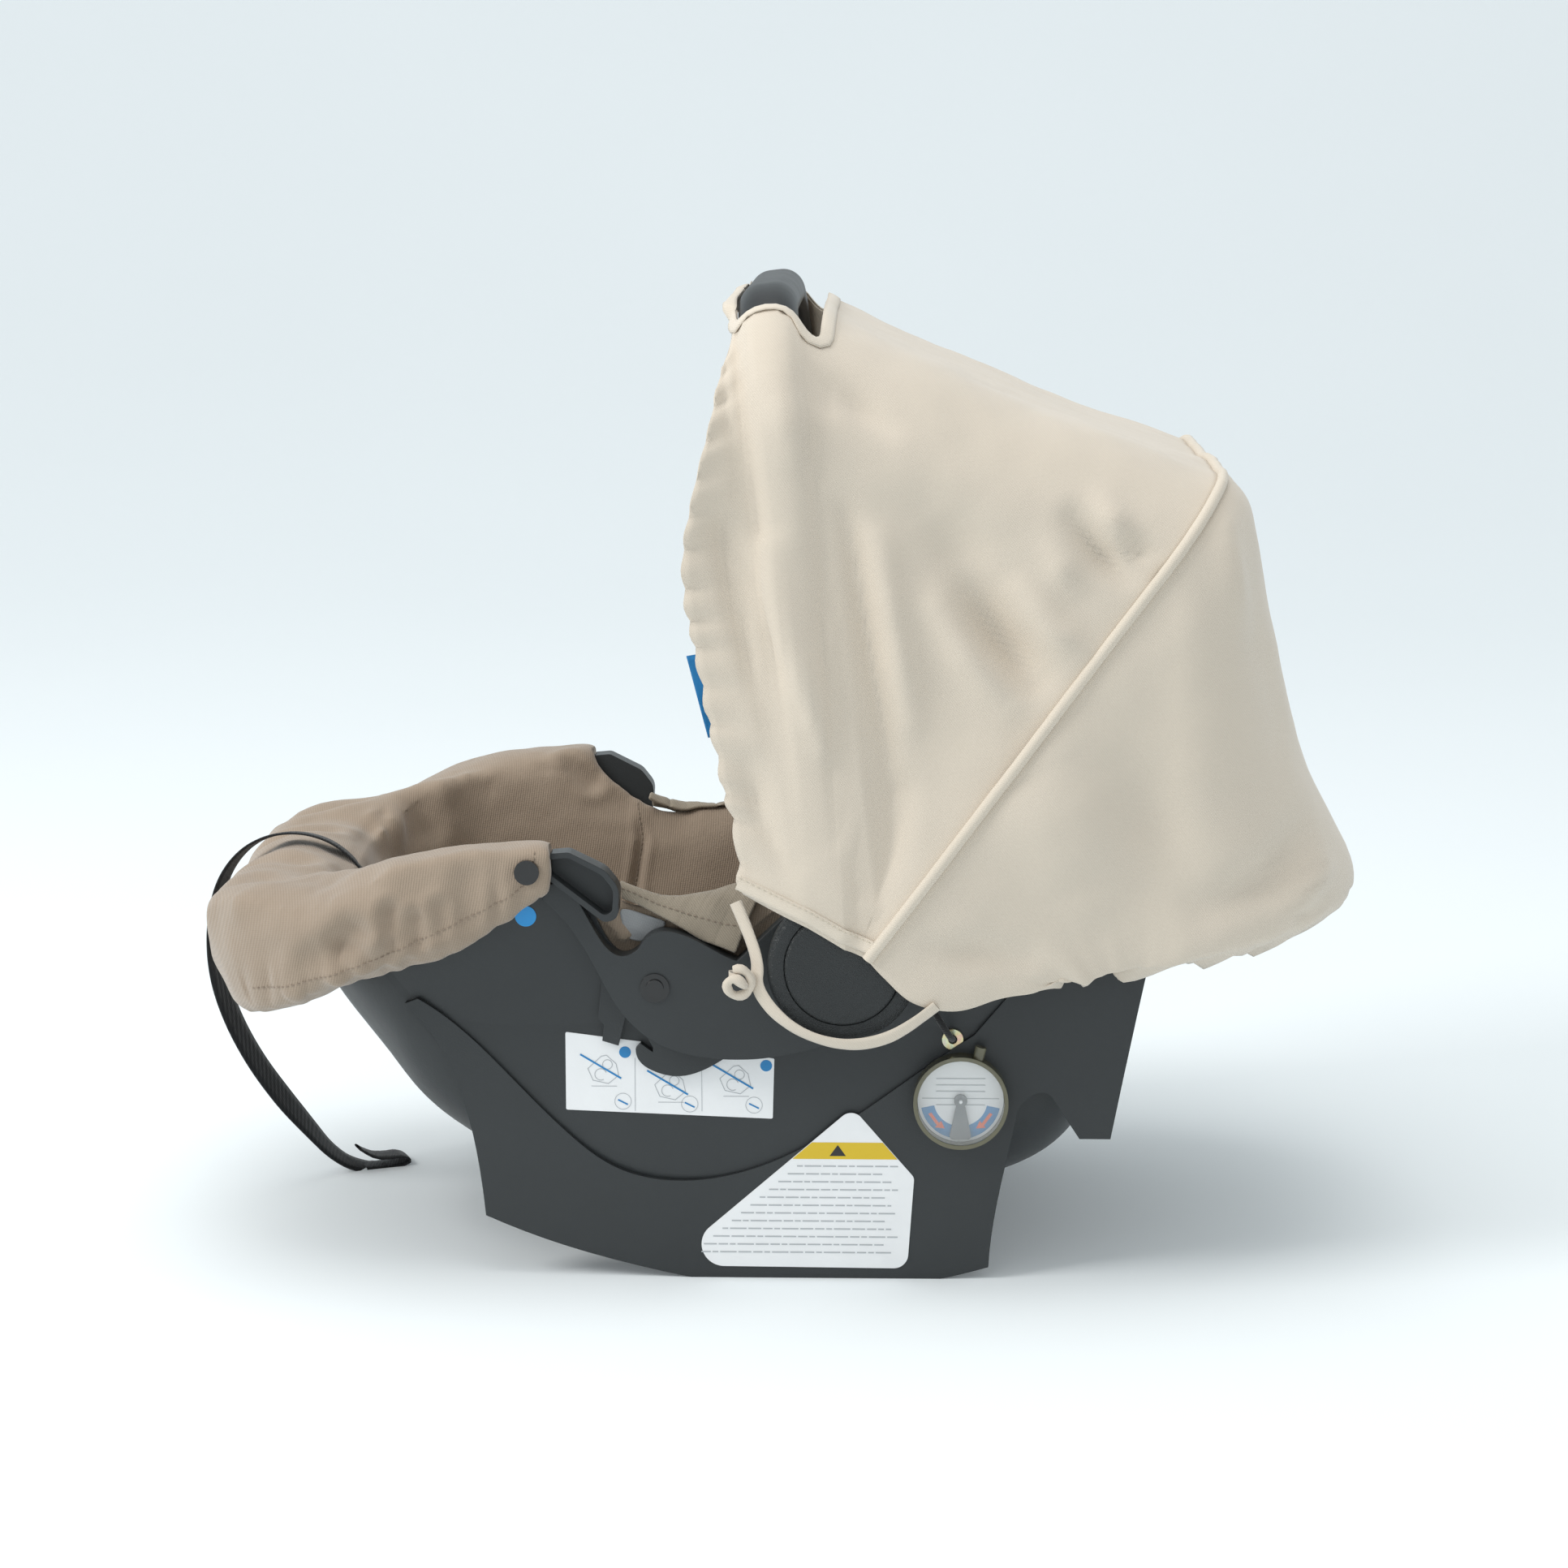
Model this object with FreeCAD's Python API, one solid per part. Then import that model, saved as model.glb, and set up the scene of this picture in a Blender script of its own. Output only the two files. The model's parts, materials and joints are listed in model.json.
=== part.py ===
import FreeCAD, Part
import math
import os

# Infant car seat. Millimetres. +X is the head end, -X the foot end, +Z up.
# The child's left side is -Y. The origin is on the floor, under the middle of the seat.
V = FreeCAD.Vector

# Overall
HALF_WIDTH = 220.0          # outer face of the canopy beside the handle hubs
FOOT_END = 357.0            # how far the padded foot end reaches
PIVOT_X, PIVOT_Z = 44.0, 213.0
HANDLE_LEAN = 6.9           # degrees, towards the foot end, in the carry position
CLEAR = 0.3                 # gap between parts that move past each other

# Shell
WALL = 4.0
SKIRT_IN, SKIRT_OUT = 156.5, 163.0
ROCKER_X, ROCKER_FLAT = 34.0, 36.0      # middle and half length of the runner's flat
WING_OUT = 178.0
BOSS_R, BOSS_OUT = 42.0, 180.0
RIVET, RIVET_R = (-70.0, 192.0), 3.0
HOOK_OUT = 166.4
BOLT_X, BOLT_Y, BOLT_Z, BOLT_R = 177.0, 30.0, 65.0, 4.0

# Handle
BAR_WIDE, BAR_THICK = 36.0, 22.0
BAR_OUTER_CORNER, BAR_INNER_CORNER = 14.5, 6.0
ARM_Y = 195.0
GRIP_RADIUS = 392.0         # pivot to the middle of the grip
HANDLE_BEND = 90.0
HUB_IN, HUB_OUT, HUB_R = 184.6, 205.0, 42.0
COVER_R, COVER_OUT = 45.0, 214.0
BUTTON_R, BUTTON_OUT = 34.7, 215.5
PIN_R, PIN_END = 6.0, 195.0
GEAR_R, GEAR_ROOT, GEAR_TEETH = 28.0, 25.0, 12
RUNNING_FIT = 0.05

# Canopy
FABRIC = 3.0
CLOTH_GAP = 1.5             # canopy cloth to the bars under it
GRIP_SLOT_X, GRIP_SLOT_Y = (-27.5, 34.0), 155.0
BOW_ANGLE = 51.5            # degrees above the floor, from the pivot towards the head end
BOW_RADIUS, BOW_BEND = 356.0, 64.0
BOW_IN, BOW_OUT, BOW_WIDE = 180.4, 183.6, 12.0
BOW_ROOF_GAP = 5.5          # the cloth falls away steeply behind the bow

# Pad and harness
PAD_GAP, PAD = 2.0, 10.0
OVERHANG = 26.0
STRAP_IN, STRAP_OUT = 14.0, 46.0
WEBBING, TAIL_WIDE, TAIL_TUBE = 1.6, 25.0, 3.0
ADJUSTER = (-190.0, 88.0)
ADJUSTER_TILT = 34.8
FLAP_END = -134.0

# Level gauge
GAUGE_X, GAUGE_Z, GAUGE_R = 116.0, 120.0, 29.0
GAUGE_OUT = 175.0
EYELET = (111.0, 157.0)

# The bucket, station by station along X: bottom height, bottom corner radius, half width
BUCKET = [
    (-295, 205, 25, 95),
    (-280, 180, 42, 120),
    (-262, 155, 58, 140),
    (-240, 128, 68, 152),
    (-222, 106, 70, 158),
    (-174, 72, 66, 160),
    (-120, 52, 45, 160),
    (-65, 44, 28, 160),
    (5, 40, 40, 160),
    (75, 40, 80, 160),
    (130, 45, 104, 160),
    (187, 77, 104, 158),
    (205, 114, 100, 157),
    (219, 158, 88, 156),
    (233, 194, 66, 154),
    (265, 217, 50, 148),
    (305, 231, 40, 132),
    (332, 242, 26, 110),
    (347, 251, 12, 86),
]
FLARE_FROM, FLARE, SECTION_TOP = 165.0, 16.0, 340.0

# The shell's rim, the pad's top line and the pad's hem, as (x, z) down the side
RIM = [(-300, 222), (-270, 232), (-240, 250), (-188, 264), (-140, 268), (-112, 244), (-88, 211),
       (-66, 223), (-20, 207), (8, 226), (30, 256), (100, 276), (200, 292), (290, 296), (352, 258)]
PAD_TOP = [(-357, 222), (-330, 239), (-285, 245), (-239, 270), (-188, 284), (-128, 290)]
LINER_TOP = [(-300, 220), (-285, 229), (-262, 247), (-239, 266), (-188, 280), (-142, 283), (-126, 272),
             (-108, 261), (-90, 251), (-65, 250), (-34, 253), (0, 258), (30, 262), (100, 272), (200, 288),
             (290, 292), (352, 254)]
PAD_HEM = [(-357, 148), (-320, 160), (-248, 200), (-189, 224), (-159, 243), (-128, 264)]

nodes = {}


# ---------------------------------------------------------------- helpers

def side_face(start, steps, y):
    """A face in the plane Y=y. A step is one (x, z) point reached by a straight edge, or a list of
    points reached by one smooth curve."""
    at = V(start[0], y, start[1])
    first = at
    edges = []
    for step in steps:
        if isinstance(step, tuple):
            to = V(step[0], y, step[1])
            edges.append(Part.LineSegment(at, to).toShape())
        else:
            curve_points = [at] + [V(x, y, z) for x, z in step]
            to = curve_points[-1]
            curve = Part.BSplineCurve()
            curve.interpolate(curve_points)
            edges.append(curve.toShape())
        at = to
    if (at - first).Length > 1e-6:
        edges.append(Part.LineSegment(at, first).toShape())
    return Part.Face(Part.Wire(edges))


def plate(start, steps, y0, y1):
    return side_face(start, steps, y0).extrude(V(0, y1 - y0, 0))


def corner_edges(points, place):
    """Straight edges joined by tangent arcs through (u, v, radius) corners, as a closed wire."""
    corners = []
    count = len(points)
    for i, (u, v, radius) in enumerate(points):
        here = V(u, v, 0)
        before, after = points[i - 1], points[(i + 1) % count]
        a = (V(before[0], before[1], 0) - here).normalize()
        b = (V(after[0], after[1], 0) - here).normalize()
        if radius <= 0:
            corners.append((here, None, here))
            continue
        half = a.getAngle(b) / 2
        inward = (a + b).normalize()
        centre = here + inward * (radius / math.sin(half))
        cut = radius / math.tan(half)
        corners.append((here + a * cut, centre - inward * radius, here + b * cut))
    edges = []
    for i, (enter, middle, leave) in enumerate(corners):
        following = corners[(i + 1) % count][0]
        if middle is not None:
            arc = Part.Arc(*[place(p.x, p.y) for p in (enter, middle, leave)])
            edges.append(arc.toShape())
        if (following - leave).Length > 1e-6:
            line = Part.LineSegment(place(leave.x, leave.y), place(following.x, following.y))
            edges.append(line.toShape())
    return Part.Wire(edges)


def round_plate(points, y0, y1):
    wire = corner_edges(points, lambda u, v: V(u, y0, v))
    return Part.Face(wire).extrude(V(0, y1 - y0, 0))


def drum(x, z, radius, y0, y1):
    return Part.makeCylinder(radius, abs(y1 - y0), V(x, min(y0, y1), z), V(0, 1, 0))


def ring(x, z, outer, inner, y0, y1):
    return drum(x, z, outer, y0, y1).cut(drum(x, z, inner, y0 - 1, y1 + 1))


def block(x0, x1, y0, y1, z0, z1):
    return Part.makeBox(x1 - x0, y1 - y0, z1 - z0, V(x0, y0, z0))


def mirrored(shape):
    return shape.mirror(V(0, 0, 0), V(0, 1, 0))


def both(name, left):
    """The same piece on both sides, as two nodes."""
    nodes["left_" + name] = left
    nodes["right_" + name] = mirrored(left)


def pair(name, left):
    """The same small piece on both sides, as one node of separate solids."""
    nodes[name] = Part.makeCompound([left, mirrored(left)])


def turned(shape, degrees, x=PIVOT_X, z=PIVOT_Z):
    shape = shape.copy()
    shape.rotate(V(x, 0, z), V(0, 1, 0), degrees)
    return shape


def region(profile, level):
    """Everything between a side line and a level, right across the seat."""
    start = (profile[0][0] - 60, profile[0][1])
    steps = [profile[0], list(profile[1:]), (profile[-1][0] + 60, profile[-1][1]),
             (profile[-1][0] + 60, level), (profile[0][0] - 60, level)]
    return plate(start, steps, -260, 260)


def ribbon(points, thickness, y0, y1):
    """A band of webbing whose middle follows (x, z) points."""
    upper, lower = [], []
    last = len(points) - 1
    for i, (x, z) in enumerate(points):
        (xa, za), (xb, zb) = points[max(i - 1, 0)], points[min(i + 1, last)]
        normal = V(-(zb - za), 0, xb - xa).normalize() * (thickness / 2)
        upper.append((x + normal.x, z + normal.z))
        lower.append((x - normal.x, z - normal.z))
    return plate(upper[0], [upper[1:], lower[-1], lower[-2::-1]], y0, y1)


def spring(x, z, radius, wire, y0, y1, turns):
    """A coil spring along Y, as one swept helix."""
    pitch = (y1 - y0) / turns
    helix = Part.makeHelix(pitch, y1 - y0, radius)
    section = Part.Wire(Part.makeCircle(wire, V(radius, 0, 0), V(0, 1, 0)))
    coil = Part.Wire(helix.Edges).makePipeShell([section], True, True)
    coil.rotate(V(0, 0, 0), V(1, 0, 0), -90)
    coil.translate(V(x, y0, z))
    return coil


def tooth_wheel(x, z, outer, root, count, bore, y0, y1, slack=0.0):
    """A wheel with straight-sided teeth; slack widens each tooth, as a share of the pitch."""
    step = 2 * math.pi / count
    foot, tip = 0.32 + slack, 0.18 + slack
    points = []
    for i in range(count):
        for part, radius in ((-foot, root), (-tip, outer), (tip, outer), (foot, root)):
            angle = (i + part) * step
            points.append(V(x + radius * math.cos(angle), y0, z + radius * math.sin(angle)))
    wheel = Part.Face(Part.makePolygon(points + [points[0]])).extrude(V(0, y1 - y0, 0))
    return wheel.cut(drum(x, z, bore, y0 - 1, y1 + 1)) if bore else wheel


def tube(route, radius, name):
    """A round tube along straight runs joined by tangent arcs."""
    points = [V(*p) for p in route]
    edges = []
    at = points[0]
    radii = []
    for before, here, after in zip(points, points[1:], points[2:]):
        a, b = (before - here), (after - here)
        shorter = min(a.Length, b.Length)
        a.normalize()
        b.normalize()
        half = a.getAngle(b) / 2
        cut = 0.45 * shorter
        bend = cut * math.tan(half)
        inward = (a + b).normalize()
        centre = here + inward * (bend / math.sin(half))
        edges.append(Part.LineSegment(at, here + a * cut).toShape())
        edges.append(Part.Arc(here + a * cut, centre - inward * bend, here + b * cut).toShape())
        at = here + b * cut
        radii.append(bend)
    edges.append(Part.LineSegment(at, points[-1]).toShape())
    path = Part.Wire(edges)
    section = Part.Wire(Part.makeCircle(radius, points[0], points[1] - points[0]))
    solid = path.makePipeShell([section], True, True)
    expected = math.pi * radius ** 2 * path.Length
    print(name, "length", round(path.Length), "volume ratio", round(solid.Volume / expected, 3),
          "radii", [round(r) for r in radii])
    return solid


# ---------------------------------------------------------------- shell

def bucket_solid(inset, foot=None, top=SECTION_TOP):
    """The bucket's outer form, drawn in by inset, with its foot end stretched to foot."""
    stretch = (foot or -BUCKET[0][0] - inset) / -BUCKET[0][0]
    shrink = (BUCKET[-1][0] - inset) / BUCKET[-1][0]
    wires = []
    for x, low, corner, half in BUCKET:
        station = x * (stretch if x < 0 else shrink)
        half, low, corner = half - inset, low + inset, max(corner - inset, 6.0)
        turn = max(FLARE_FROM, low + corner + 8)
        outline = [(half, low, corner), (half, turn, 0), (half + FLARE, top, 0),
                   (-half - FLARE, top, 0), (-half, turn, 0), (-half, low, corner)]
        wires.append(corner_edges(outline, lambda u, v, s=station: V(s, u, v)))
    return Part.makeLoft(wires, True, False)


def raised(profile, by):
    return [(x, z + by) for x, z in profile]


def in_adjuster(shape):
    """Puts a shape drawn in the harness adjuster's frame, -X up the foot slope, in its place."""
    shape.rotate(V(0, 0, 0), V(0, 1, 0), ADJUSTER_TILT)
    shape.translate(V(ADJUSTER[0], 0, ADJUSTER[1]))
    return shape


def strap_slots():
    """Where the webbing goes through the bucket and the pad."""
    slots = [block(190, 235, side * 30 - 18, side * 30 + 18, 146, 168) for side in (-1, 1)]
    slots.append(block(-79, -66, -18, 18, 30, 90))
    slots.append(in_adjuster(block(-6, 6, -15, 15, -25, 12)))
    return slots


def make_bucket():
    bucket = bucket_solid(0).cut(bucket_solid(WALL)).cut(region(RIM, 400.0)).cut(strap_slots())
    for side in (-1, 1):
        bucket = bucket.cut(drum(PIVOT_X, PIVOT_Z, PIN_R + RUNNING_FIT, side * 140, side * 190))
        bucket = bucket.cut(drum(*RIVET, RIVET_R + RUNNING_FIT, side * 140, side * 190))
    nodes["seat_bucket"] = bucket.cut(Part.makeCylinder(BOLT_R + RUNNING_FIT, 60, V(BOLT_X, BOLT_Y, 40)))


def make_rockers():
    outline = [
        [(-202, 149), (-188, 114), (-180, 77), (-176, 44)],
        [(-130, 26), (-80, 12), (-35, 3), (ROCKER_X - ROCKER_FLAT, 0)],
        (ROCKER_X + ROCKER_FLAT, 0),
        [(100, 4.4), (134, 13)],
        [(139, 54), (146, 88), (151, 112)],
        [(158, 121), (165, 124), (172, 121)],
        (189, 95),
        (208, 95),
        [(216, 137), (231, 212)],
        (160, 203),
        (124, 160),
        [(75, 125), (5, 81), (-28, 70), (-60, 67), (-95, 75), (-125, 97), (-150, 122), (-216, 181)],
    ]
    both("rocker", plate((-224, 178), outline, -SKIRT_OUT, -SKIRT_IN).cut(bucket_solid(0)))
    web = plate((205, 104), [(209, 104), (227, 198), (222, 198)], -SKIRT_IN, -60).cut(bucket_solid(0))
    pair("skirt_webs", max(web.Solids, key=lambda solid: solid.Volume))


def make_wings():
    """The raised arms outside the bucket that carry the handle, with the belt tabs and hooks."""
    outline = [
        [(-121, 229), (-106, 204), (-90, 176), (-68, 157), (-42, 149), (-8, 148)],
        [(30, 156), (62, 172), (84, 195), (88, 218)],
        [(78, 246), (44, 257), (8, 236), (-20, 209)],
        [(-48, 223), (-66, 227), (-80, 216)],
        [(-92, 212), (-103, 222), (-134, 255)],
    ]
    wing = plate((-138, 246), outline, -WING_OUT, -140)
    wing = wing.fuse(drum(PIVOT_X, PIVOT_Z, BOSS_R, -BOSS_OUT, -140)).cut(bucket_solid(0))
    wing = wing.cut(drum(PIVOT_X, PIVOT_Z, PIN_R + RUNNING_FIT, -190, -140))
    wing = wing.cut(drum(*RIVET, RIVET_R + RUNNING_FIT, -190, -140))
    both("wing", max(wing.Solids, key=lambda solid: solid.Volume))

    rivet = drum(*RIVET, RIVET_R, -WING_OUT, -160).fuse(drum(*RIVET, 9, -WING_OUT - 1.2, -WING_OUT))
    pair("wing_rivets", rivet.fuse(drum(*RIVET, 5.5, -WING_OUT - 3, -WING_OUT)))
    pair("pivot_pins", drum(PIVOT_X, PIVOT_Z, PIN_R, -PIN_END, -161))

    tab = [(-132, 276, 1), (-121, 277, 6), (-99, 266, 12), (-90.5, 255, 12), (-91.5, 236, 6), (-100, 234, 5),
           (-132, 259, 1)]
    dish = [(-133, 272.5, 0), (-121, 273.5, 5), (-101, 263, 10), (-94, 254, 10), (-95, 240, 4),
            (-100, 238.5, 4),
            (-133, 264, 0)]
    solid = round_plate(tab, -186, -140).cut(round_plate(dish, -187, -174)).cut(bucket_solid(0))
    solid = solid.cut(nodes["left_wing"])
    pair("belt_tabs", max(solid.Solids, key=lambda part: part.Volume))

    prong = plate((-101, 212), [(-105.5, 170), (-102, 166), (-103, 156), (-93, 153), (-86, 182), (-84, 205)],
                  -HOOK_OUT, -140)
    hook = plate((-80.5, 168), [(-72, 152), (-72, 149), (-79.5, 154.5), (-82.6, 151),
                                [(-80, 143), (-70, 136.5), (-56, 134), (-39, 139), (-26, 147)],
                                (-20, 158), (-74, 176)], -HOOK_OUT, -140)
    hooks = []
    for shape in (prong, hook):
        cut = shape.cut(bucket_solid(0)).cut(nodes["left_wing"])
        hooks.append(max(cut.Solids, key=lambda part: part.Volume))
    nodes["belt_hooks"] = Part.makeCompound(hooks + [mirrored(h) for h in hooks])


def make_bolt():
    """The dome-headed bolt under the head end."""
    shaft = Part.makeCylinder(BOLT_R, 20, V(BOLT_X, BOLT_Y, BOLT_Z)).cut(bucket_solid(WALL))
    head = Part.makeCylinder(9, 3.5, V(BOLT_X, BOLT_Y, BOLT_Z - 3)).cut(bucket_solid(0))
    nodes["underseat_bolt"] = shaft.fuse(head)


# ---------------------------------------------------------------- labels and level gauge

def make_labels():
    sheet = round_plate([(-126, 160, 1), (2, 144, 1), (1, 106, 1), (-126, 111, 1)], -160.6, -160)
    sheet = sheet.cut([nodes["left_wing"], nodes["belt_hooks"], nodes["seat_bucket"]])
    nodes["instruction_label"] = max(sheet.Solids, key=lambda part: part.Volume)
    corners = [(-66, 13, 14), (50, 114, 8), (88, 70, 5), (84, 12, 9)]
    nodes["caution_label"] = round_plate(corners, -SKIRT_OUT - 0.6, -SKIRT_OUT)


def make_gauge():
    at = (GAUGE_X, GAUGE_Z)
    dial_room = drum(*at, GAUGE_R - 2.5, -GAUGE_OUT - 1, -SKIRT_OUT - 2)
    body = drum(*at, GAUGE_R, -GAUGE_OUT, -SKIRT_OUT).cut(dial_room)
    axle = drum(*at, 1.0, -SKIRT_OUT - 8.5, -SKIRT_OUT - 3)
    nodes["gauge_body"] = body
    nodes["gauge_dial"] = drum(*at, GAUGE_R - 2.7, -SKIRT_OUT - 3, -SKIRT_OUT - 2).fuse(axle)
    weight = round_plate([(GAUGE_X - 7, GAUGE_Z - 24, 2), (GAUGE_X - 2.5, GAUGE_Z - 2, 1),
                          (GAUGE_X + 2.5, GAUGE_Z - 2, 1), (GAUGE_X + 7, GAUGE_Z - 24, 2)],
                         -SKIRT_OUT - 6, -SKIRT_OUT - 4)
    eye = drum(*at, 4.0, -SKIRT_OUT - 6, -SKIRT_OUT - 4)
    nodes["gauge_pendulum"] = weight.fuse(eye).cut(drum(*at, 1.05, -180, -150))
    nodes["gauge_lens"] = drum(*at, GAUGE_R - 2.7, -GAUGE_OUT + 0.3, -GAUGE_OUT + 2.3)
    plug = Part.makeCylinder(3.5, 9, V(GAUGE_X + 10, -169, GAUGE_Z + GAUGE_R - 3.5), V(0.25, 0, 1))
    nodes["gauge_filler"] = plug.cut(drum(*at, GAUGE_R, -GAUGE_OUT - 1, -SKIRT_OUT + 1))
    eyelet = ring(*EYELET, 6.5, 2.7, -162.4, -159).cut([nodes["left_rocker"], nodes["seat_bucket"]])
    nodes["cord_eyelet"] = max(eyelet.Solids, key=lambda part: part.Volume)


# ---------------------------------------------------------------- handle

def upright_wire(arm_y, top, bend, start):
    """A U in the plane X = pivot, from one side over the top to the other."""
    def at(y, z):
        return V(PIVOT_X, y, PIVOT_Z + z)
    turn = bend * (1 - math.sqrt(0.5))
    left, right = -arm_y, arm_y
    return Part.Wire([
        Part.LineSegment(at(left, start), at(left, top - bend)).toShape(),
        Part.Arc(at(left, top - bend), at(left + turn, top - turn), at(left + bend, top)).toShape(),
        Part.LineSegment(at(left + bend, top), at(right - bend, top)).toShape(),
        Part.Arc(at(right - bend, top), at(right - turn, top - turn), at(right, top - bend)).toShape(),
        Part.LineSegment(at(right, top - bend), at(right, start)).toShape(),
    ])


def swept_bar(path, wide, thick, outer, inner, arm_y, start):
    """A bar along an upright U, with its outer and its inner corners rounded."""
    half, deep = wide / 2, thick / 2
    corners = [(-half, -deep, outer), (half, -deep, outer), (half, deep, inner), (-half, deep, inner)]
    section = corner_edges(corners, lambda u, v: V(PIVOT_X + u, -arm_y + v, PIVOT_Z + start))
    return path.makePipeShell([section], True, True)


def make_handle():
    path = upright_wire(ARM_Y, GRIP_RADIUS, HANDLE_BEND, 12)
    bar = swept_bar(path, BAR_WIDE, BAR_THICK, BAR_OUTER_CORNER, BAR_INNER_CORNER, ARM_Y, 12)
    for side in (-1, 1):
        bar = bar.cut(drum(PIVOT_X, PIVOT_Z, HUB_R - 1, side * 170, side * 230))
        hub = drum(PIVOT_X, PIVOT_Z, HUB_R, side * HUB_IN, side * HUB_OUT)
        bar = bar.fuse(hub)
    for side in (-1, 1):
        gear_room = tooth_wheel(PIVOT_X, PIVOT_Z, GEAR_R + CLEAR, GEAR_ROOT + CLEAR, GEAR_TEETH, 0,
                                *sorted((side * 189, side * 200)), slack=0.03)
        button_room = drum(PIVOT_X, PIVOT_Z, BUTTON_R + 0.8, side * 199.5, side * 230)
        bore = drum(PIVOT_X, PIVOT_Z, PIN_R + RUNNING_FIT, side * 180, side * 230)
        cover_room = drum(PIVOT_X, PIVOT_Z, COVER_R + CLEAR, side * HUB_OUT, side * 230)
        bar = bar.cut([gear_room, button_room, bore, cover_room])
    nodes["handle_bar"] = turned(bar, -HANDLE_LEAN)

    cover = drum(PIVOT_X, PIVOT_Z, COVER_R, -COVER_OUT, -HUB_OUT)
    rim = [e for e in cover.Edges if abs(e.CenterOfMass.y + COVER_OUT) < 0.1 and e.Closed]
    cover = cover.makeFillet(4.0, rim[:1]).cut(drum(PIVOT_X, PIVOT_Z, BUTTON_R + CLEAR, -230, -190))
    both("hub_cover", cover)

    button = drum(PIVOT_X, PIVOT_Z, BUTTON_R, -BUTTON_OUT, -204.2)
    rim = [e for e in button.Edges if abs(e.CenterOfMass.y + BUTTON_OUT) < 0.1 and e.Closed]
    stem = drum(PIVOT_X, PIVOT_Z, 10, -204.2, -201)
    both("release_button", button.makeFillet(2.0, rim[:1]).fuse(stem))
    gear = tooth_wheel(PIVOT_X, PIVOT_Z, GEAR_R, GEAR_ROOT, GEAR_TEETH, PIN_R + 1, -201, -196)
    both("lock_gear", turned(gear, -HANDLE_LEAN))
    both("button_spring", spring(PIVOT_X, PIVOT_Z, 10, 0.8, -195.1, -189.9, 3))


# ---------------------------------------------------------------- canopy

def fan_point(degrees, radius):
    """A point in side view, at an angle above the floor from the pivot towards the head end."""
    angle = math.radians(degrees)
    return PIVOT_X + radius * math.cos(angle), PIVOT_Z + radius * math.sin(angle)


def canopy_section(bottom, top, low_half, high_half, corner):
    """The canopy cut by a plane across the seat: two legs and a roof, FABRIC thick."""
    run = V(top[0] - bottom[0], 0, top[1] - bottom[1])
    length = run.Length
    run.normalize()
    low_in, high_in, roof = low_half - FABRIC, high_half - FABRIC, length - FABRIC
    outline = [(-low_half, 0, 0), (-high_half, length, corner), (high_half, length, corner), (low_half, 0, 0),
               (low_in, 0, 0), (high_in, roof, corner - FABRIC), (-high_in, roof, corner - FABRIC),
               (-low_in, 0, 0)]
    return corner_edges(outline, lambda u, v: V(bottom[0] + run.x * v, u, bottom[1] + run.z * v))


def make_canopy():
    over_bar = BAR_THICK / 2 + CLOTH_GAP + FABRIC
    cloth_top, arm_cloth, bend = GRIP_RADIUS + over_bar, ARM_Y + over_bar, HANDLE_BEND + over_bar
    bow_top = BOW_RADIUS + 2 + BOW_ROOF_GAP + FABRIC
    at_handle = canopy_section(fan_point(90 + HANDLE_LEAN, 29), fan_point(93.4, cloth_top + 1),
                               HALF_WIDTH, arm_cloth, bend)
    ahead = canopy_section((-58, 258), (-58, 614), 214, arm_cloth, bend)
    at_bow = canopy_section(fan_point(BOW_ANGLE, 16), fan_point(BOW_ANGLE, bow_top), HALF_WIDTH, 196, 70)
    front = Part.makeLoft([ahead, at_handle, at_bow], True, True)
    front_line = [(-30, 593), (-38, 532), (-46, 460), (-44, 403), (-28, 345), (-14, 286), (-12, 262)]
    edge = plate((-90, 640), [(-32, 640), (-32, 618), front_line, (-18, 240), (-90, 240)], -260, 260)
    grip_slot = block(*GRIP_SLOT_X, -GRIP_SLOT_Y, GRIP_SLOT_Y, 578, 660)
    nodes["canopy_front"] = front.cut(edge).cut(grip_slot)

    rear = [at_bow,
            canopy_section((90, 213), (305, 410), HALF_WIDTH, 196, 85),
            canopy_section((112, 207), (327, 328), 207, 196, 105),
            canopy_section((142, 203), (362, 245), 201, 196, 128),
            canopy_section((165, 203), (348, 228), 197, 190, 128)]
    nodes["canopy_rear"] = Part.makeLoft(rear, True, True)

    path = upright_wire((BOW_IN + BOW_OUT) / 2, BOW_RADIUS, BOW_BEND, 8)
    bow = swept_bar(path, BOW_WIDE, BOW_OUT - BOW_IN, 1.2, 1.2, (BOW_IN + BOW_OUT) / 2, 8)
    for side in (-1, 1):
        eye = ring(PIVOT_X, PIVOT_Z, 13, PIN_R + RUNNING_FIT, *sorted((side * BOW_IN, side * BOW_OUT)))
        bow = bow.cut(drum(PIVOT_X, PIVOT_Z, 12, side * 170, side * 190)).fuse(eye)
    nodes["canopy_bow"] = turned(bow, 90 - BOW_ANGLE)

    loop = ring(PIVOT_X, PIVOT_Z, COVER_R + 3.5, COVER_R + 1, -216, -197)
    pair("hub_loops", loop.cut(block(-60, 140, -240, -180, PIVOT_Z - 12, 400)))


# ---------------------------------------------------------------- pad

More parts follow.
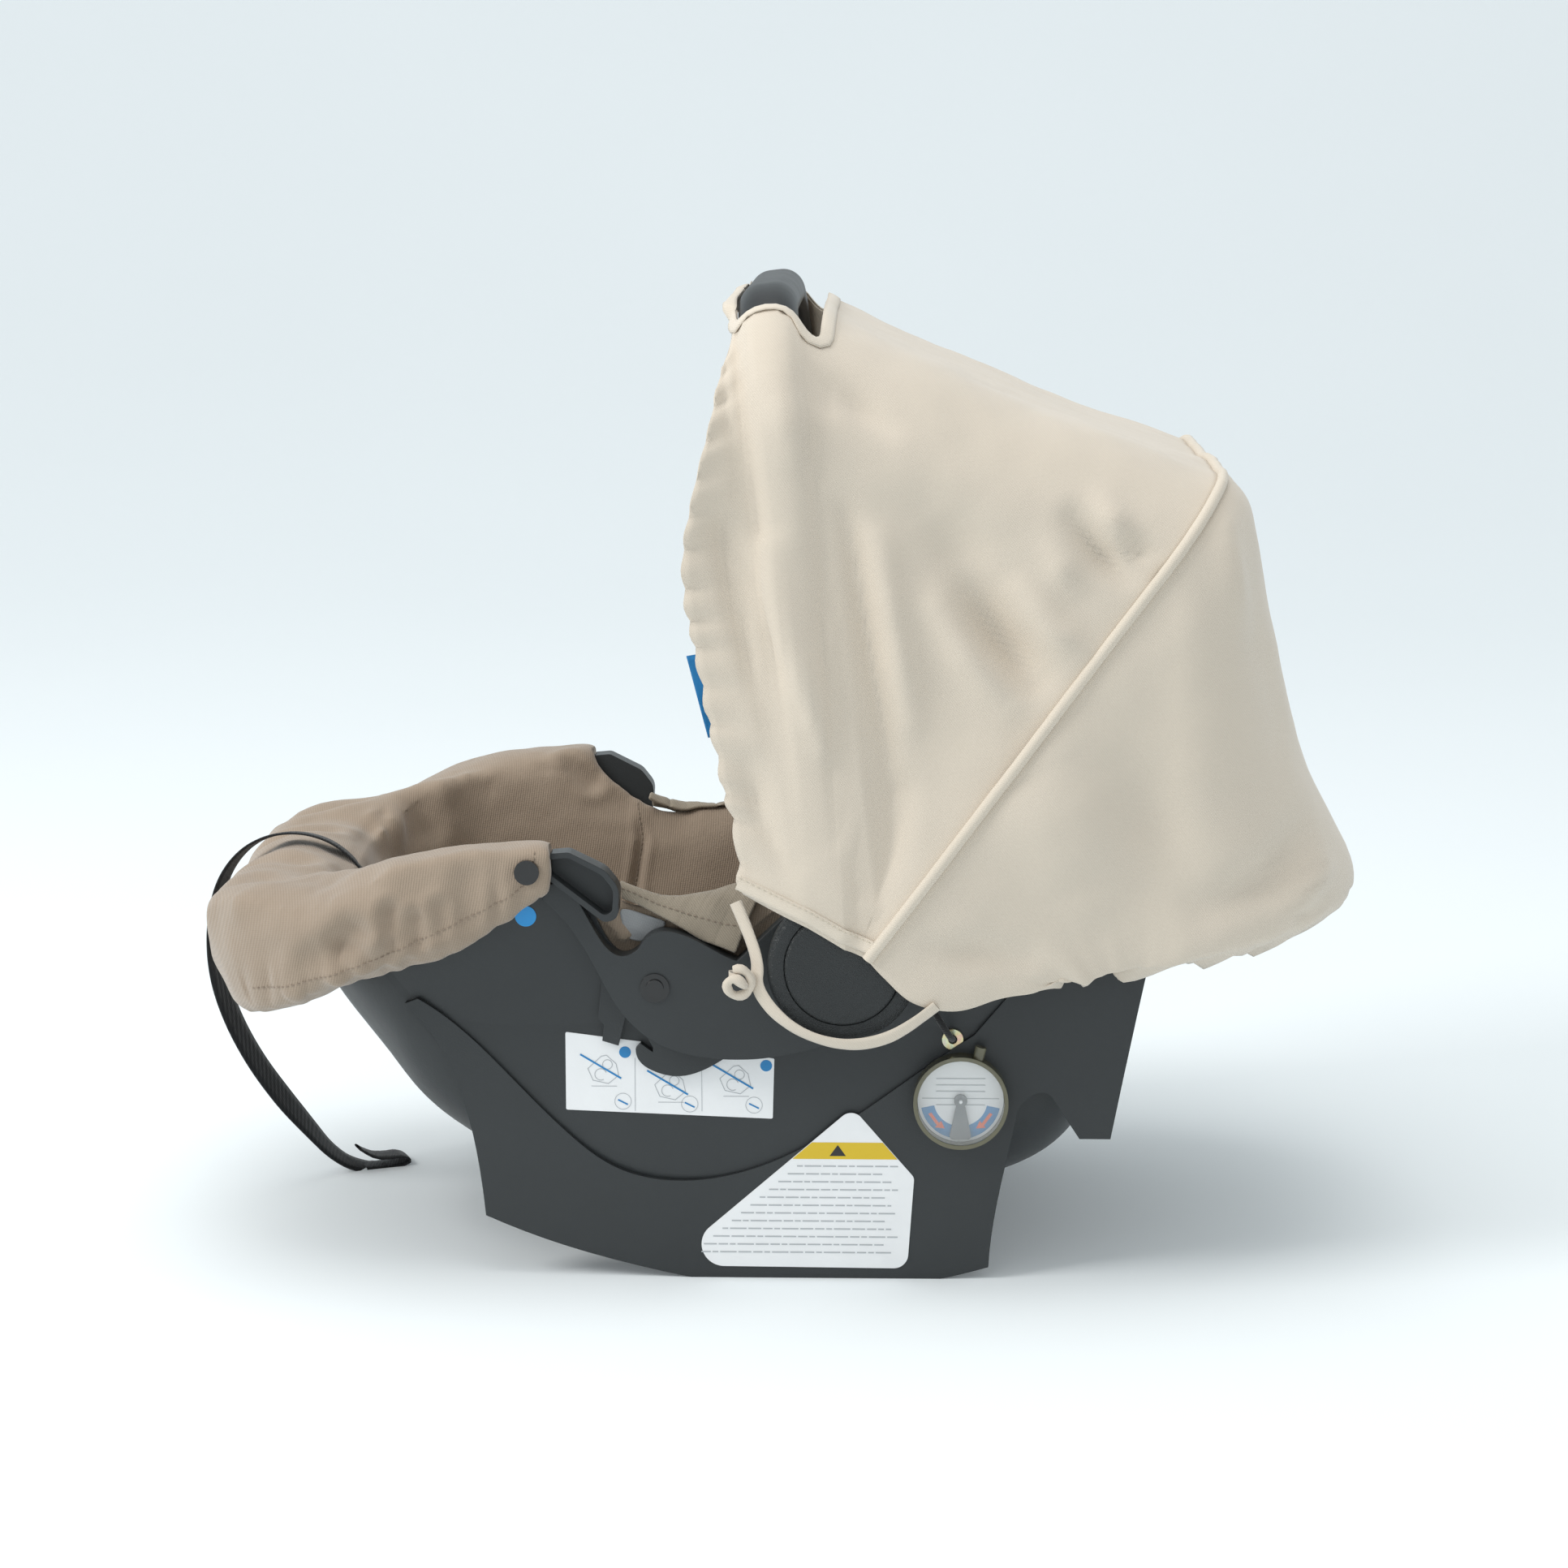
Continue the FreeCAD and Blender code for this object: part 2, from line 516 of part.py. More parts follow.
def make_pad():
    """The liner inside the bucket, and the padded roll over its foot end with the side flaps."""
    outer, inner = bucket_solid(WALL + PAD_GAP), bucket_solid(WALL + PAD_GAP + PAD)
    liner = outer.cut(inner).cut(region(LINER_TOP, 400.0)).cut(strap_slots())
    nodes["seat_pad"] = liner.cut(in_adjuster(block(-52, 20, -20, 20, -3, 40)))

    roll = bucket_solid(-OVERHANG, FOOT_END).cut(region(PAD_TOP, 400.0)).cut(region(PAD_HEM, -20.0))
    core = bucket_solid(-2.5, 298.0).cut(region(raised(RIM, 3), 400.0))
    roll = roll.cut(core).cut(bucket_solid(WALL + PAD_GAP)).cut(block(FLAP_END, 400, -260, 260, -50, 500))
    nodes["pad_overhang"] = max(roll.Solids, key=lambda solid: solid.Volume)
    pair("flap_snaps", drum(-145, 267, 7.5, -200, -196.6))


# ---------------------------------------------------------------- harness

def make_harness():
    splitter = block(203.5, 213, -50, 50, 99, 102)
    nodes["splitter_plate"] = splitter
    shoulder = [(209, 102), (215, 118), (221, 136), (224, 150), (219, 160), (204, 156), (189, 127), (178, 107.5),
                (168, 97.6), (158, 91), (148, 84.5), (138, 77.9), (126, 70.1), (112, 65.5), (60, 66), (0, 88),
                (-30, 128), (-54, 160), (-69, 170), (-76, 162)]
    both("shoulder_strap", ribbon(shoulder, WEBBING, -STRAP_OUT, -STRAP_IN).cut(splitter))
    under = [(206, 99), (200, 88), (188, 70), (160, 51), (130, 37), (60, 31), (-60, 33), (-120, 38), (-165, 52),
             (-186, 72), (-189, 90)]
    nodes["under_strap"] = ribbon(under, WEBBING, -TAIL_WIDE / 2, TAIL_WIDE / 2).cut(splitter)
    nodes["crotch_strap"] = plate((-73.5, 42), [(-71.5, 42), (-71.5, 85.8), (-73.5, 85.8)], -15, 15)
    nodes["crotch_anchor"] = block(-84, -61, -21, 21, 39.6, 42)

    buckle = block(-88, -66, -22, 22, 86, 142)
    tongue_room = block(-78.2, -73.3, -20.6, 20.6, 118, 150)
    button_room = block(-95, -83, -12.4, 12.4, 93.6, 114.4)
    nodes["buckle_body"] = buckle.makeFillet(4.0, buckle.Edges).cut([tongue_room, button_room])
    nodes["buckle_button"] = block(-90, -86.5, -12, 12, 94, 114)
    tongue = block(-77, -74.5, -20, -2, 120, 142).fuse(block(-77, -74.5, -48, -2, 142, 160.5))
    both("tongue", tongue)

    half = block(-14, 14, -48, -0.2, 2.6, 7.6)
    half.rotate(V(0, 0, 0), V(0, 1, 0), -33.3)
    half.translate(V(147, 0, 83.8))
    both("chest_clip", half)

    housing = block(-16, 16, -17, 17, 0.6, 16).cut(block(-5, 5, -13.5, 13.5, 0, 9))
    for side in (-1, 1):
        ear = block(-4, 4, min(side * 11, side * 17), max(side * 11, side * 17), 16, 23)
        housing = housing.fuse(ear)
    pin_room = drum(0, 19.6, 1.25, -20, 20)
    nodes["adjuster_housing"] = in_adjuster(housing.cut(pin_room))
    nodes["adjuster_lever"] = in_adjuster(block(-13, 13, -10, 10, 18.4, 21.4).cut(pin_room))
    nodes["adjuster_pin"] = in_adjuster(drum(0, 19.6, 1.2, -16.5, 16.5))


TAIL_ROUTE = [
    (-196.6, 0, 107.2), (-213, 0, 126), (-225, 0, 153), (-243, 0, 183), (-260, -1, 213), (-282, -2, 244),
    (-310, -3, 255), (-340, -4, 250), (-361, -5, 228), (-369, -4, 196), (-369, 0, 162), (-362, 8, 130),
    (-350, 20, 98), (-335, 36, 68), (-318, 53, 40), (-305, 66, 19), (-290, 76, 6.5), (-275, 82, 3.4),
]
ELASTIC_ROUTE = [(92, -183, 193), (98, -186, 182), (106, -182, 168), (110.5, -172, 159), (111, -160.6, 157)]


def make_cords():
    nodes["adjuster_tail"] = tube(TAIL_ROUTE, TAIL_TUBE, "adjuster_tail")
    end = block(0, 11, -TAIL_WIDE / 2, TAIL_WIDE / 2, 0.4, 5.4)
    end.rotate(V(0, 0, 0), V(0, 0, 1), 22)
    end.translate(V(TAIL_ROUTE[-1][0] + 0.4, TAIL_ROUTE[-1][1], 0))
    nodes["tail_end"] = end.cut(nodes["adjuster_tail"])
    nodes["canopy_elastic"] = tube(ELASTIC_ROUTE, 2.0, "canopy_elastic")


# ---------------------------------------------------------------- the whole seat

def write_all():
    os.makedirs("parts", exist_ok=True)
    for name, shape in sorted(nodes.items()):
        state = "" if shape.isValid() else "NOT VALID"
        print(name, len(shape.Solids), round(shape.Volume / 1000, 1), "cm3", state)
        shape.exportStep("parts/%s.step" % name)
    print(len(nodes), "nodes")


make_bucket()
make_rockers()
make_wings()
make_bolt()
make_labels()
make_gauge()
make_handle()
make_canopy()
make_pad()
make_harness()
make_cords()
write_all()
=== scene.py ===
import json
import math

import bmesh
import bpy
import numpy as np
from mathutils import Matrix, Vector, noise
from mathutils.bvhtree import BVHTree

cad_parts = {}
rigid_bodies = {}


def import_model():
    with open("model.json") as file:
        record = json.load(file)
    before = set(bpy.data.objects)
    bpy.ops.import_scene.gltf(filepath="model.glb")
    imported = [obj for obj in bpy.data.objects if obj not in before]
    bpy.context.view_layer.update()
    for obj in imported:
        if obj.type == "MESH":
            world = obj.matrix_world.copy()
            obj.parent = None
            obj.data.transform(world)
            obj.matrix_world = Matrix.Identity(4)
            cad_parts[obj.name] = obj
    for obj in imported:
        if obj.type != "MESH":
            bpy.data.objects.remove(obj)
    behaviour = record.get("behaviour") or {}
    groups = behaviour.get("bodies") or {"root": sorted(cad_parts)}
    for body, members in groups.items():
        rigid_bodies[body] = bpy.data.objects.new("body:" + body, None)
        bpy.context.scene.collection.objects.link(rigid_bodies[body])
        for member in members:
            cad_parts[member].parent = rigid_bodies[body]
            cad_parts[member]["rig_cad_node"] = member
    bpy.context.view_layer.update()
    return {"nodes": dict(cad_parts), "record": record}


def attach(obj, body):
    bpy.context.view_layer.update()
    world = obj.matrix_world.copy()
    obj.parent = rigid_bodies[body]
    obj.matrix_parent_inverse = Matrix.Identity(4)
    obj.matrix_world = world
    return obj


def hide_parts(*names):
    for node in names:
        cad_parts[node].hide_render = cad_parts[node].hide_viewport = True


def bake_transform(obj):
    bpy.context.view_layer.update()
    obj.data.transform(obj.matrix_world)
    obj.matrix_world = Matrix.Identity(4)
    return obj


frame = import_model()
NODES = frame["nodes"]

# Infant car seat. Metres. +X is the head end, -X the foot end, +Z up, and -Y the child's left.
PIVOT = Vector((0.044, 0.0, 0.213))
HANDLE_ANGLE = 96.9         # degrees above the floor, seen from the child's left
BOW_ANGLE = 51.5
BOW_SHARE = 0.45            # the bow turns this share of the handle's turn
REAR_ANGLE = 12.0           # below this the canopy's cloth stays still

CHARCOAL = (0.029, 0.033, 0.035)
SATIN_BLACK = (0.014, 0.0155, 0.017)
CREAM = (0.655, 0.580, 0.485)
TAUPE = (0.335, 0.262, 0.198)



def metres(values):
    """A table in millimetres, in metres."""
    if isinstance(values, (int, float)):
        return values / 1000
    return type(values)(metres(value) for value in values)


# ---------------------------------------------------------------- materials

class Shader:
    """A node material being built: nodes by type, links by socket."""

    def __init__(self, name, color, roughness, **inputs):
        self.material = bpy.data.materials.new(name)
        self.material.use_nodes = True
        self.material.diffuse_color = (*color[:3], 1.0)
        self.tree = self.material.node_tree
        self.bsdf = self.tree.nodes["Principled BSDF"]
        self.color = color
        self.bsdf.inputs["Base Color"].default_value = (*color[:3], 1.0)
        self.bsdf.inputs["Roughness"].default_value = roughness
        for socket, value in inputs.items():
            self.bsdf.inputs[socket.replace("_", " ")].default_value = value
        self.place = self.node("ShaderNodeTexCoord").outputs["Object"]

    def node(self, kind, **settings):
        made = self.tree.nodes.new(kind)
        for name, value in settings.items():
            setattr(made, name, value)
        return made

    def link(self, out, into):
        self.tree.links.new(out, into)

    def math(self, operation, a, b=None):
        made = self.node("ShaderNodeMath", operation=operation)
        for socket, value in zip(made.inputs, (a, b)):
            if isinstance(value, (int, float)):
                socket.default_value = value
            elif value is not None:
                self.link(value, socket)
        return made.outputs[0]

    def noise(self, size, detail=3.0, roughness=0.5, stretch=(1, 1, 1)):
        """Noise whose lumps are about size metres across."""
        mapping = self.node("ShaderNodeMapping")
        mapping.inputs["Scale"].default_value = stretch
        self.link(self.place, mapping.inputs["Vector"])
        made = self.node("ShaderNodeTexNoise")
        made.inputs["Scale"].default_value = 1.0 / size
        made.inputs["Detail"].default_value = detail
        made.inputs["Roughness"].default_value = roughness
        self.link(mapping.outputs[0], made.inputs["Vector"])
        return made.outputs["Fac"]

    def stripes(self, direction, pitch, wobble=0.0):
        """Bands 0 to 1, pitch metres apart, across a direction, wherever the surface runs."""
        dot = self.node("ShaderNodeVectorMath", operation="DOT_PRODUCT")
        self.link(self.place, dot.inputs[0])
        dot.inputs[1].default_value = Vector(direction).normalized() * (2 * math.pi / pitch)
        phase = dot.outputs["Value"]
        if wobble:
            phase = self.math("ADD", phase, self.math("MULTIPLY", self.noise(pitch * 6), wobble))
        return self.math("ADD", self.math("MULTIPLY", self.math("SINE", phase), 0.5), 0.5)

    def between(self, fac, low, high):
        made = self.node("ShaderNodeMapRange")
        self.link(fac, made.inputs["Value"])
        made.inputs["To Min"].default_value = low
        made.inputs["To Max"].default_value = high
        return made.outputs[0]

    def tint(self, fac, amount, color=None):
        """Colour that goes darker and lighter by amount with fac."""
        base = Vector((color or self.color)[:3])
        ramp = self.node("ShaderNodeValToRGB")
        ramp.color_ramp.elements[0].position = 0.25
        ramp.color_ramp.elements[1].position = 0.75
        ramp.color_ramp.elements[0].color = (*(base * (1 - amount)), 1.0)
        ramp.color_ramp.elements[1].color = (*(base * (1 + amount)), 1.0)
        self.link(fac, ramp.inputs["Fac"])
        return ramp.outputs["Color"]

    def paint(self, color=None, roughness=None):
        if color is not None:
            self.link(color, self.bsdf.inputs["Base Color"])
        if roughness is not None:
            self.link(roughness, self.bsdf.inputs["Roughness"])

    def bump(self, *layers, round_edges=0.0):
        """Layers are (height, depth in metres). round_edges softens sharp edges by that radius."""
        normal = None
        if round_edges:
            bevel = self.node("ShaderNodeBevel", samples=6)
            bevel.inputs["Radius"].default_value = round_edges
            normal = bevel.outputs["Normal"]
        for height, depth in layers:
            made = self.node("ShaderNodeBump")
            made.inputs["Distance"].default_value = depth
            self.link(height, made.inputs["Height"])
            if normal is not None:
                self.link(normal, made.inputs["Normal"])
            normal = made.outputs["Normal"]
        self.link(normal, self.bsdf.inputs["Normal"])

    def worn(self, patches, amount, gloss, spread, *layers, round_edges=0.0):
        """Patches of colour, uneven gloss and bump layers; gives the finished material."""
        self.paint(self.tint(patches, amount), self.between(gloss, *spread))
        self.bump(*layers, round_edges=round_edges)
        return self.material


def moulded(name, color, roughness, grain, depth, edge=0.0008):
    """Moulded plastic: a fine grain, slow changes of gloss, and rubbed, slightly paler patches."""
    s = Shader(name, color, roughness, Specular_IOR_Level=0.42)
    return s.worn(s.noise(0.07, 4, 0.55), 0.10, s.noise(0.035, 5, 0.6), (roughness - 0.07, roughness + 0.07),
                  (s.noise(grain, 2, 0.6), depth), (s.noise(0.03, 2), 0.00012), round_edges=edge)


def leather_grain(name, color, roughness):
    """Moulded leather grain: small cells with creases between them."""
    s = Shader(name, color, roughness, Specular_IOR_Level=0.45)
    cells = s.node("ShaderNodeTexVoronoi", feature="DISTANCE_TO_EDGE")
    cells.inputs["Scale"].default_value = 900.0
    s.link(s.place, cells.inputs["Vector"])
    return s.worn(s.noise(0.03), 0.08, s.noise(0.004, 3), (roughness - 0.06, roughness + 0.08),
                  (cells.outputs["Distance"], 0.0006), (s.noise(0.0012, 2), 0.00008), round_edges=0.001)


def woven(name, color, pitch, warp, weft, depth, sheen=0.25, mottle=0.05, roughness=0.85):
    """Woven or knitted cloth: two sets of threads, uneven yarn, and faint wear."""
    s = Shader(name, color, roughness, Sheen_Weight=sheen, Sheen_Roughness=0.5, Specular_IOR_Level=0.25)
    ribs = s.stripes(warp, pitch, 1.2)
    cross = s.stripes(weft, pitch * 0.8, 0.8)
    threads = s.math("ADD", s.math("MULTIPLY", ribs, 0.7), s.math("MULTIPLY", cross, 0.3))
    yarn = s.noise(pitch * 1.6, 2, 0.6)
    slow = s.noise(0.09, 4, 0.55)
    fleck = s.math("ADD", s.math("MULTIPLY", slow, 0.55), s.math("MULTIPLY", threads, 0.45))
    return s.worn(fleck, mottle, yarn, (roughness - 0.08, roughness + 0.08),
                  (threads, depth), (yarn, depth * 0.8), (s.noise(0.012, 3), depth * 1.6))


def metal(name, color, roughness, brushed=(1, 1, 14)):
    s = Shader(name, color, roughness, Metallic=1.0)
    lines = s.noise(0.002, 3, 0.6, brushed)
    return s.worn(s.noise(0.01), 0.08, lines, (roughness - 0.08, roughness + 0.12), (lines, 0.00002),
                  round_edges=0.0003)


def glossy(name, color, roughness=0.16, coat=0.4):
    s = Shader(name, color, roughness, Coat_Weight=coat, Coat_Roughness=0.08)
    return s.worn(s.noise(0.012), 0.06, s.noise(0.006, 4), (roughness - 0.05, roughness + 0.08),
                  (s.noise(0.004, 2), 0.00002), round_edges=0.0004)


def printed(name, color, roughness=0.38):
    """Printed film, with a faint orange-peel and slight soiling."""
    s = Shader(name, color, roughness)
    return s.worn(s.noise(0.02, 4), 0.025, s.noise(0.01, 3), (roughness - 0.05, roughness + 0.08),
                  (s.noise(0.0016, 2), 0.00002))


def clear(name, color, roughness, alpha):
    s = Shader(name, color, roughness, Alpha=alpha, IOR=1.49, Coat_Weight=0.5, Coat_Roughness=0.05)
    return s.worn(s.noise(0.01), 0.05, s.noise(0.005, 3), (roughness, roughness + 0.08),
                  (s.noise(0.003, 2), 0.00001), round_edges=0.0004)


def iridescent_zinc():
    """Zinc with yellow passivation, which goes pink and green in patches."""
    s = Shader("zinc_yellow", (0.62, 0.52, 0.34), 0.28, Metallic=1.0)
    ramp = s.node("ShaderNodeValToRGB")
    stops = [(0.25, (0.66, 0.42, 0.36)), (0.45, (0.70, 0.60, 0.34)), (0.6, (0.62, 0.66, 0.46)),
             (0.8, (0.60, 0.44, 0.46))]
    elements = ramp.color_ramp.elements
    while len(elements) < len(stops):
        elements.new(0.5)
    for element, (position, color) in zip(elements, stops):
        element.position = position
        element.color = (*color, 1.0)
    s.link(s.noise(0.005, 2), ramp.inputs["Fac"])
    s.paint(ramp.outputs["Color"], s.between(s.noise(0.002), 0.2, 0.4))
    s.bump((s.noise(0.001), 0.00002), round_edges=0.0005)
    return s.material


SIDE_TWILL = ((0.80, 0.12, 0.59), (-0.45, 0.30, 0.84))
KNIT_RIBS = ((0.95, 0.25, -0.17), (0.10, 0.42, 0.90))
WEBBING_RIBS = ((1, 0.02, 0.1), (0.02, 1, 0.02))
CORD_BRAID = ((0.2, 0.3, 1), (1, -0.6, 0.2))
BAND_WEAVE = ((0.3, 0.1, 0.95), (0.95, 0.1, -0.3))
THREAD_PLY = ((1, 0.3, 0.3), (0.2, 1, 0.4))
BACKING_WEAVE = ((1, 0.2, 0.3), (0.2, 1, 0.4))

MATERIALS = {
    "shell_plastic": moulded("shell_plastic", CHARCOAL, 0.40, 0.0011, 0.00010),
    "handle_plastic": moulded("handle_plastic", SATIN_BLACK, 0.42, 0.0009, 0.00006, 0.0012),
    "hub_plastic": leather_grain("hub_plastic", (0.017, 0.020, 0.021), 0.36),
    "nylon": moulded("nylon", (0.02, 0.02, 0.021), 0.4, 0.0008, 0.00004),
    "button_red": glossy("button_red", (0.55, 0.02, 0.02)),
    "steel": metal("steel", (0.55, 0.55, 0.56), 0.32),
    "snap_black": glossy("snap_black", (0.0035, 0.0035, 0.004), 0.13, 0.25),
    "zinc": iridescent_zinc(),
    "webbing": woven("webbing", (0.018, 0.019, 0.021), 0.0018, *WEBBING_RIBS, 0.0003, 0.2, 0.2, 0.7),
    "elastic": woven("elastic", (0.012, 0.012, 0.012), 0.0009, *CORD_BRAID, 0.0002, 0.3, 0.2),
    "pad_fabric": woven("pad_fabric", TAUPE, 0.0015, *KNIT_RIBS, 0.00022, 0.35, 0.09),
    "canopy_fabric": woven("canopy_fabric", CREAM, 0.0012, *SIDE_TWILL, 0.00014, 0.3, 0.035),
    "label_film": printed("label_film", (0.86, 0.87, 0.88)),
    "gauge_housing": clear("gauge_housing", (0.16, 0.15, 0.09), 0.12, 0.82),
    "gauge_window": clear("gauge_window", (0.95, 0.97, 0.96), 0.04, 0.12),
    "gauge_marker": printed("gauge_marker", (0.16, 0.17, 0.18), 0.5),
}
PAD_TWILL = woven("pad_twill", (0.31, 0.265, 0.205), 0.0013, *SIDE_TWILL, 0.0002, 0.3, 0.07)
PAD_BACKING = woven("pad_backing", (0.34, 0.35, 0.36), 0.0010, *BACKING_WEAVE, 0.0001, 0.1, 0.12, 0.5)
THREAD = woven("pad_thread", (0.27, 0.21, 0.16), 0.0006, *THREAD_PLY, 0.00005)
CANOPY_THREAD = woven("canopy_thread", (0.60, 0.54, 0.44), 0.0006, *THREAD_PLY, 0.00005)
CANOPY_BAND = woven("canopy_band", (0.69, 0.615, 0.515), 0.0011, *BAND_WEAVE, 0.00016, 0.3, 0.04)
BLUE_PRINT = printed("blue_print", (0.012, 0.22, 0.52))
ORANGE_PRINT = printed("orange_print", (0.85, 0.13, 0.025))
GREY_PRINT = printed("grey_print", (0.45, 0.47, 0.49))
YELLOW_PRINT = printed("yellow_print", (0.72, 0.50, 0.02))
BLACK_PRINT = printed("black_print", (0.02, 0.02, 0.022))
STICKER_BLUE = printed("sticker_blue", (0.012, 0.30, 0.72), 0.3)
TAG_BLUE = woven("tag_blue", (0.02, 0.19, 0.45), 0.0006, (1, 0, 0), (0, 0, 1), 0.0001)


# ---------------------------------------------------------------- mesh helpers

def mesh_object(name, points, faces, material, smooth=True):
    mesh = bpy.data.meshes.new(name)
    mesh.from_pydata([tuple(p) for p in points], [], faces)
    mesh.materials.append(material)
    mesh.update()
    made = bpy.data.objects.new(name, mesh)
    bpy.context.scene.collection.objects.link(made)
    for polygon in mesh.polygons:
        polygon.use_smooth = smooth
    return made


def grid_object(name, rows, material, closed=False):
    """A sheet from rows of points, each as long as the others."""
    wide = len(rows[0])
    across = wide if closed else wide - 1
    faces = []
    for i in range(len(rows) - 1):
        for j in range(across):
            k = (j + 1) % wide
            faces.append((i * wide + j, i * wide + k, (i + 1) * wide + k, (i + 1) * wide + j))
    return mesh_object(name, [p for row in rows for p in row], faces, material)


def modified(made, kind, **settings):
    modifier = made.modifiers.new(kind.lower(), kind)
    for name, value in settings.items():
        setattr(modifier, name, value)
    return modifier


def baked(made):
    """Applies an object's modifiers."""
    depsgraph = bpy.context.evaluated_depsgraph_get()
    mesh = bpy.data.meshes.new_from_object(made.evaluated_get(depsgraph))
    made.modifiers.clear()
    made.data = mesh
    return made


def nurbs_points(points, cyclic=False, resolution=16):
    """Points along the smooth curve that a route's control points give."""
    curve = bpy.data.curves.new("route", "CURVE")
    curve.dimensions = "3D"
    curve.resolution_u = resolution
    spline = curve.splines.new("NURBS")
    spline.points.add(len(points) - 1)
    for place, point in zip(spline.points, points):
        place.co = (*point, 1.0)
    spline.order_u = 3
    spline.use_endpoint_u = not cyclic
    spline.use_cyclic_u = cyclic
    holder = bpy.data.objects.new("route", curve)
    bpy.context.scene.collection.objects.link(holder)
    bpy.context.view_layer.update()
    mesh = bpy.data.meshes.new_from_object(holder)
    found = [v.co.copy() for v in mesh.vertices]
    bpy.data.objects.remove(holder)
    bpy.data.meshes.remove(mesh)
    return found


def spaced(points, step, closed=False):
    """The same line with points step apart."""
    line = list(points) + ([points[0]] if closed else [])
    lengths = [0.0]
    for a, b in zip(line, line[1:]):
        lengths.append(lengths[-1] + (b - a).length)
    count = max(2, round(lengths[-1] / step) + 1)
    out = []
    at = 0
    for i in range(count):
        want = lengths[-1] * i / (count - 1)
        while at < len(line) - 2 and lengths[at + 1] < want:
            at += 1
        span = lengths[at + 1] - lengths[at]
        out.append(line[at].lerp(line[at + 1], (want - lengths[at]) / span if span else 0.0))
    return out[:-1] if closed else out


def smooth_step(x):
    x = max(0.0, min(1.0, x))
    return x * x * (3 - 2 * x)


def mixed(a, b, share):
    return a + (b - a) * share


def along_at(points, i, closed=False):
    """The direction of a line at its point i."""
    count = len(points)
    before = points[i - 1] if closed else points[max(i - 1, 0)]
    after = points[(i + 1) % count] if closed else points[min(i + 1, count - 1)]
    return (after - before).normalized()


def frames(points, up, closed=False):
    """(point, along, side, top) at each point of a line; up is a vector, or one for each point."""
    out = []
    for i, point in enumerate(points):
        along = along_at(points, i, closed)
        top = up[i] if isinstance(up, list) else up
        side = along.cross(top).normalized()
        out.append((point, along, side, side.cross(along)))
    return out


def pipe(name, points, radius, material, sides=10, closed=False, ripple=None):
    """A round tube; ripple(i) scales its radius."""
    rows = []
    for i, (point, _, side, top) in enumerate(frames(points, steady_up(points, closed), closed)):
        size = radius * (ripple(i) if ripple else 1.0)
        rows.append([point + (side * math.cos(a) + top * math.sin(a)) * size
                     for a in (2 * math.pi * k / sides for k in range(sides))])
    if closed:
        rows.append(rows[0])
    return grid_object(name, rows, material, closed=True)


def steady_up(points, closed=False):
    """Up vectors that twist as little as they can along a line."""
    ups = []
    up = Vector((0.13, 0.21, 0.97))
    for i in range(len(points)):
        along = along_at(points, i, closed)
        up = (up - along * up.dot(along)).normalized()
        ups.append(up.copy())
    return ups


# a flat band's section, in half widths and half thicknesses
BAND_SECTION = ((-1, -0.6), (-0.5, -1), (0.5, -1), (1, -0.6), (1, 0.6), (0.5, 1), (0, 1), (-0.5, 1),
                (-1, 0.6))


def strip(name, points, ups, width, thickness, material, closed=False, crown=0.0):
    """A flat band: its broad face looks along ups."""
    rows = []
    half, deep = width / 2, thickness / 2
    for point, _, side, top in frames(points, ups, closed):
        row = []
        for u, v in BAND_SECTION:
            lift = crown * (1 - u * u) if v > 0 else 0.0
            row.append(point + side * half * u + top * (deep * v + lift))
        rows.append(row)
    if closed:
        rows.append(rows[0])
    return grid_object(name, rows, material, closed=True)


def joined(name, parts):
    """Several objects as one mesh."""
    mesh = bmesh.new()
    slots = []
    for part in parts:
        start = len(mesh.faces)
        mesh.from_mesh(part.data)
        mesh.faces.ensure_lookup_table()
        material = part.data.materials[0]
        if material not in slots:
            slots.append(material)
        for face in mesh.faces[start:]:
            face.material_index = slots.index(material)
    made = mesh_object(name, [], [], slots[0])
    mesh.to_mesh(made.data)
    for material in slots[1:]:
        made.data.materials.append(material)
    mesh.free()
    for part in parts:
        bpy.data.objects.remove(part)
    return made


def stitches(name, points, ups, material, length=0.0028, gap=0.0012, size=0.00035):
    """A sewn line: one short, slightly sunk bead of thread for each stitch."""
    line = spaced(points, length + gap)
    points_out, faces = [], []
    for i in range(len(line) - 1):
        up = ups(line[i]) if callable(ups) else ups
        a, b = line[i], line[i].lerp(line[i + 1], length / (length + gap))
        along = (b - a).normalized()
        side = along.cross(up).normalized()
        start = len(points_out)
        for share, wide in ((0.0, 0.45), (0.2, 0.95), (0.5, 1.0), (0.8, 0.95), (1.0, 0.45)):
            centre = a.lerp(b, share) + up * size * (math.sin(share * math.pi) * 1.1 - 0.15)
            points_out += [centre + (side * math.cos(t) + up * math.sin(t)) * size * wide
                           for t in (math.pi * 2 * k / 5 for k in range(5))]
        for ring in range(start, start + 20, 5):
            faces += [(ring + j, ring + (j + 1) % 5, ring + 5 + (j + 1) % 5, ring + 5 + j) for j in range(5)]
    return mesh_object(name, points_out, faces, material)


def belongs(piece, body="shell"):
    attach(piece, body)


# ---------------------------------------------------------------- camera, light and floor

CAMERA_PLACE, CAMERA_AIM = (0.0617, -2.3628, 0.7031), (0.004, 0.0, 0.2864)
CAMERA_LENS, CAMERA_SENSOR = 85.0, 36.0     # millimetres
SKY_COLOR, SKY_STRENGTH = (0.905, 0.945, 0.96, 1.0), 0.72
# the paper's section behind the seat, as (y, z)
PAPER = [(-6.0, 0.0), (2.0, 0.0), (3.2, 0.06), (4.2, 0.4), (4.9, 1.1), (5.2, 2.2), (5.3, 6.0)]


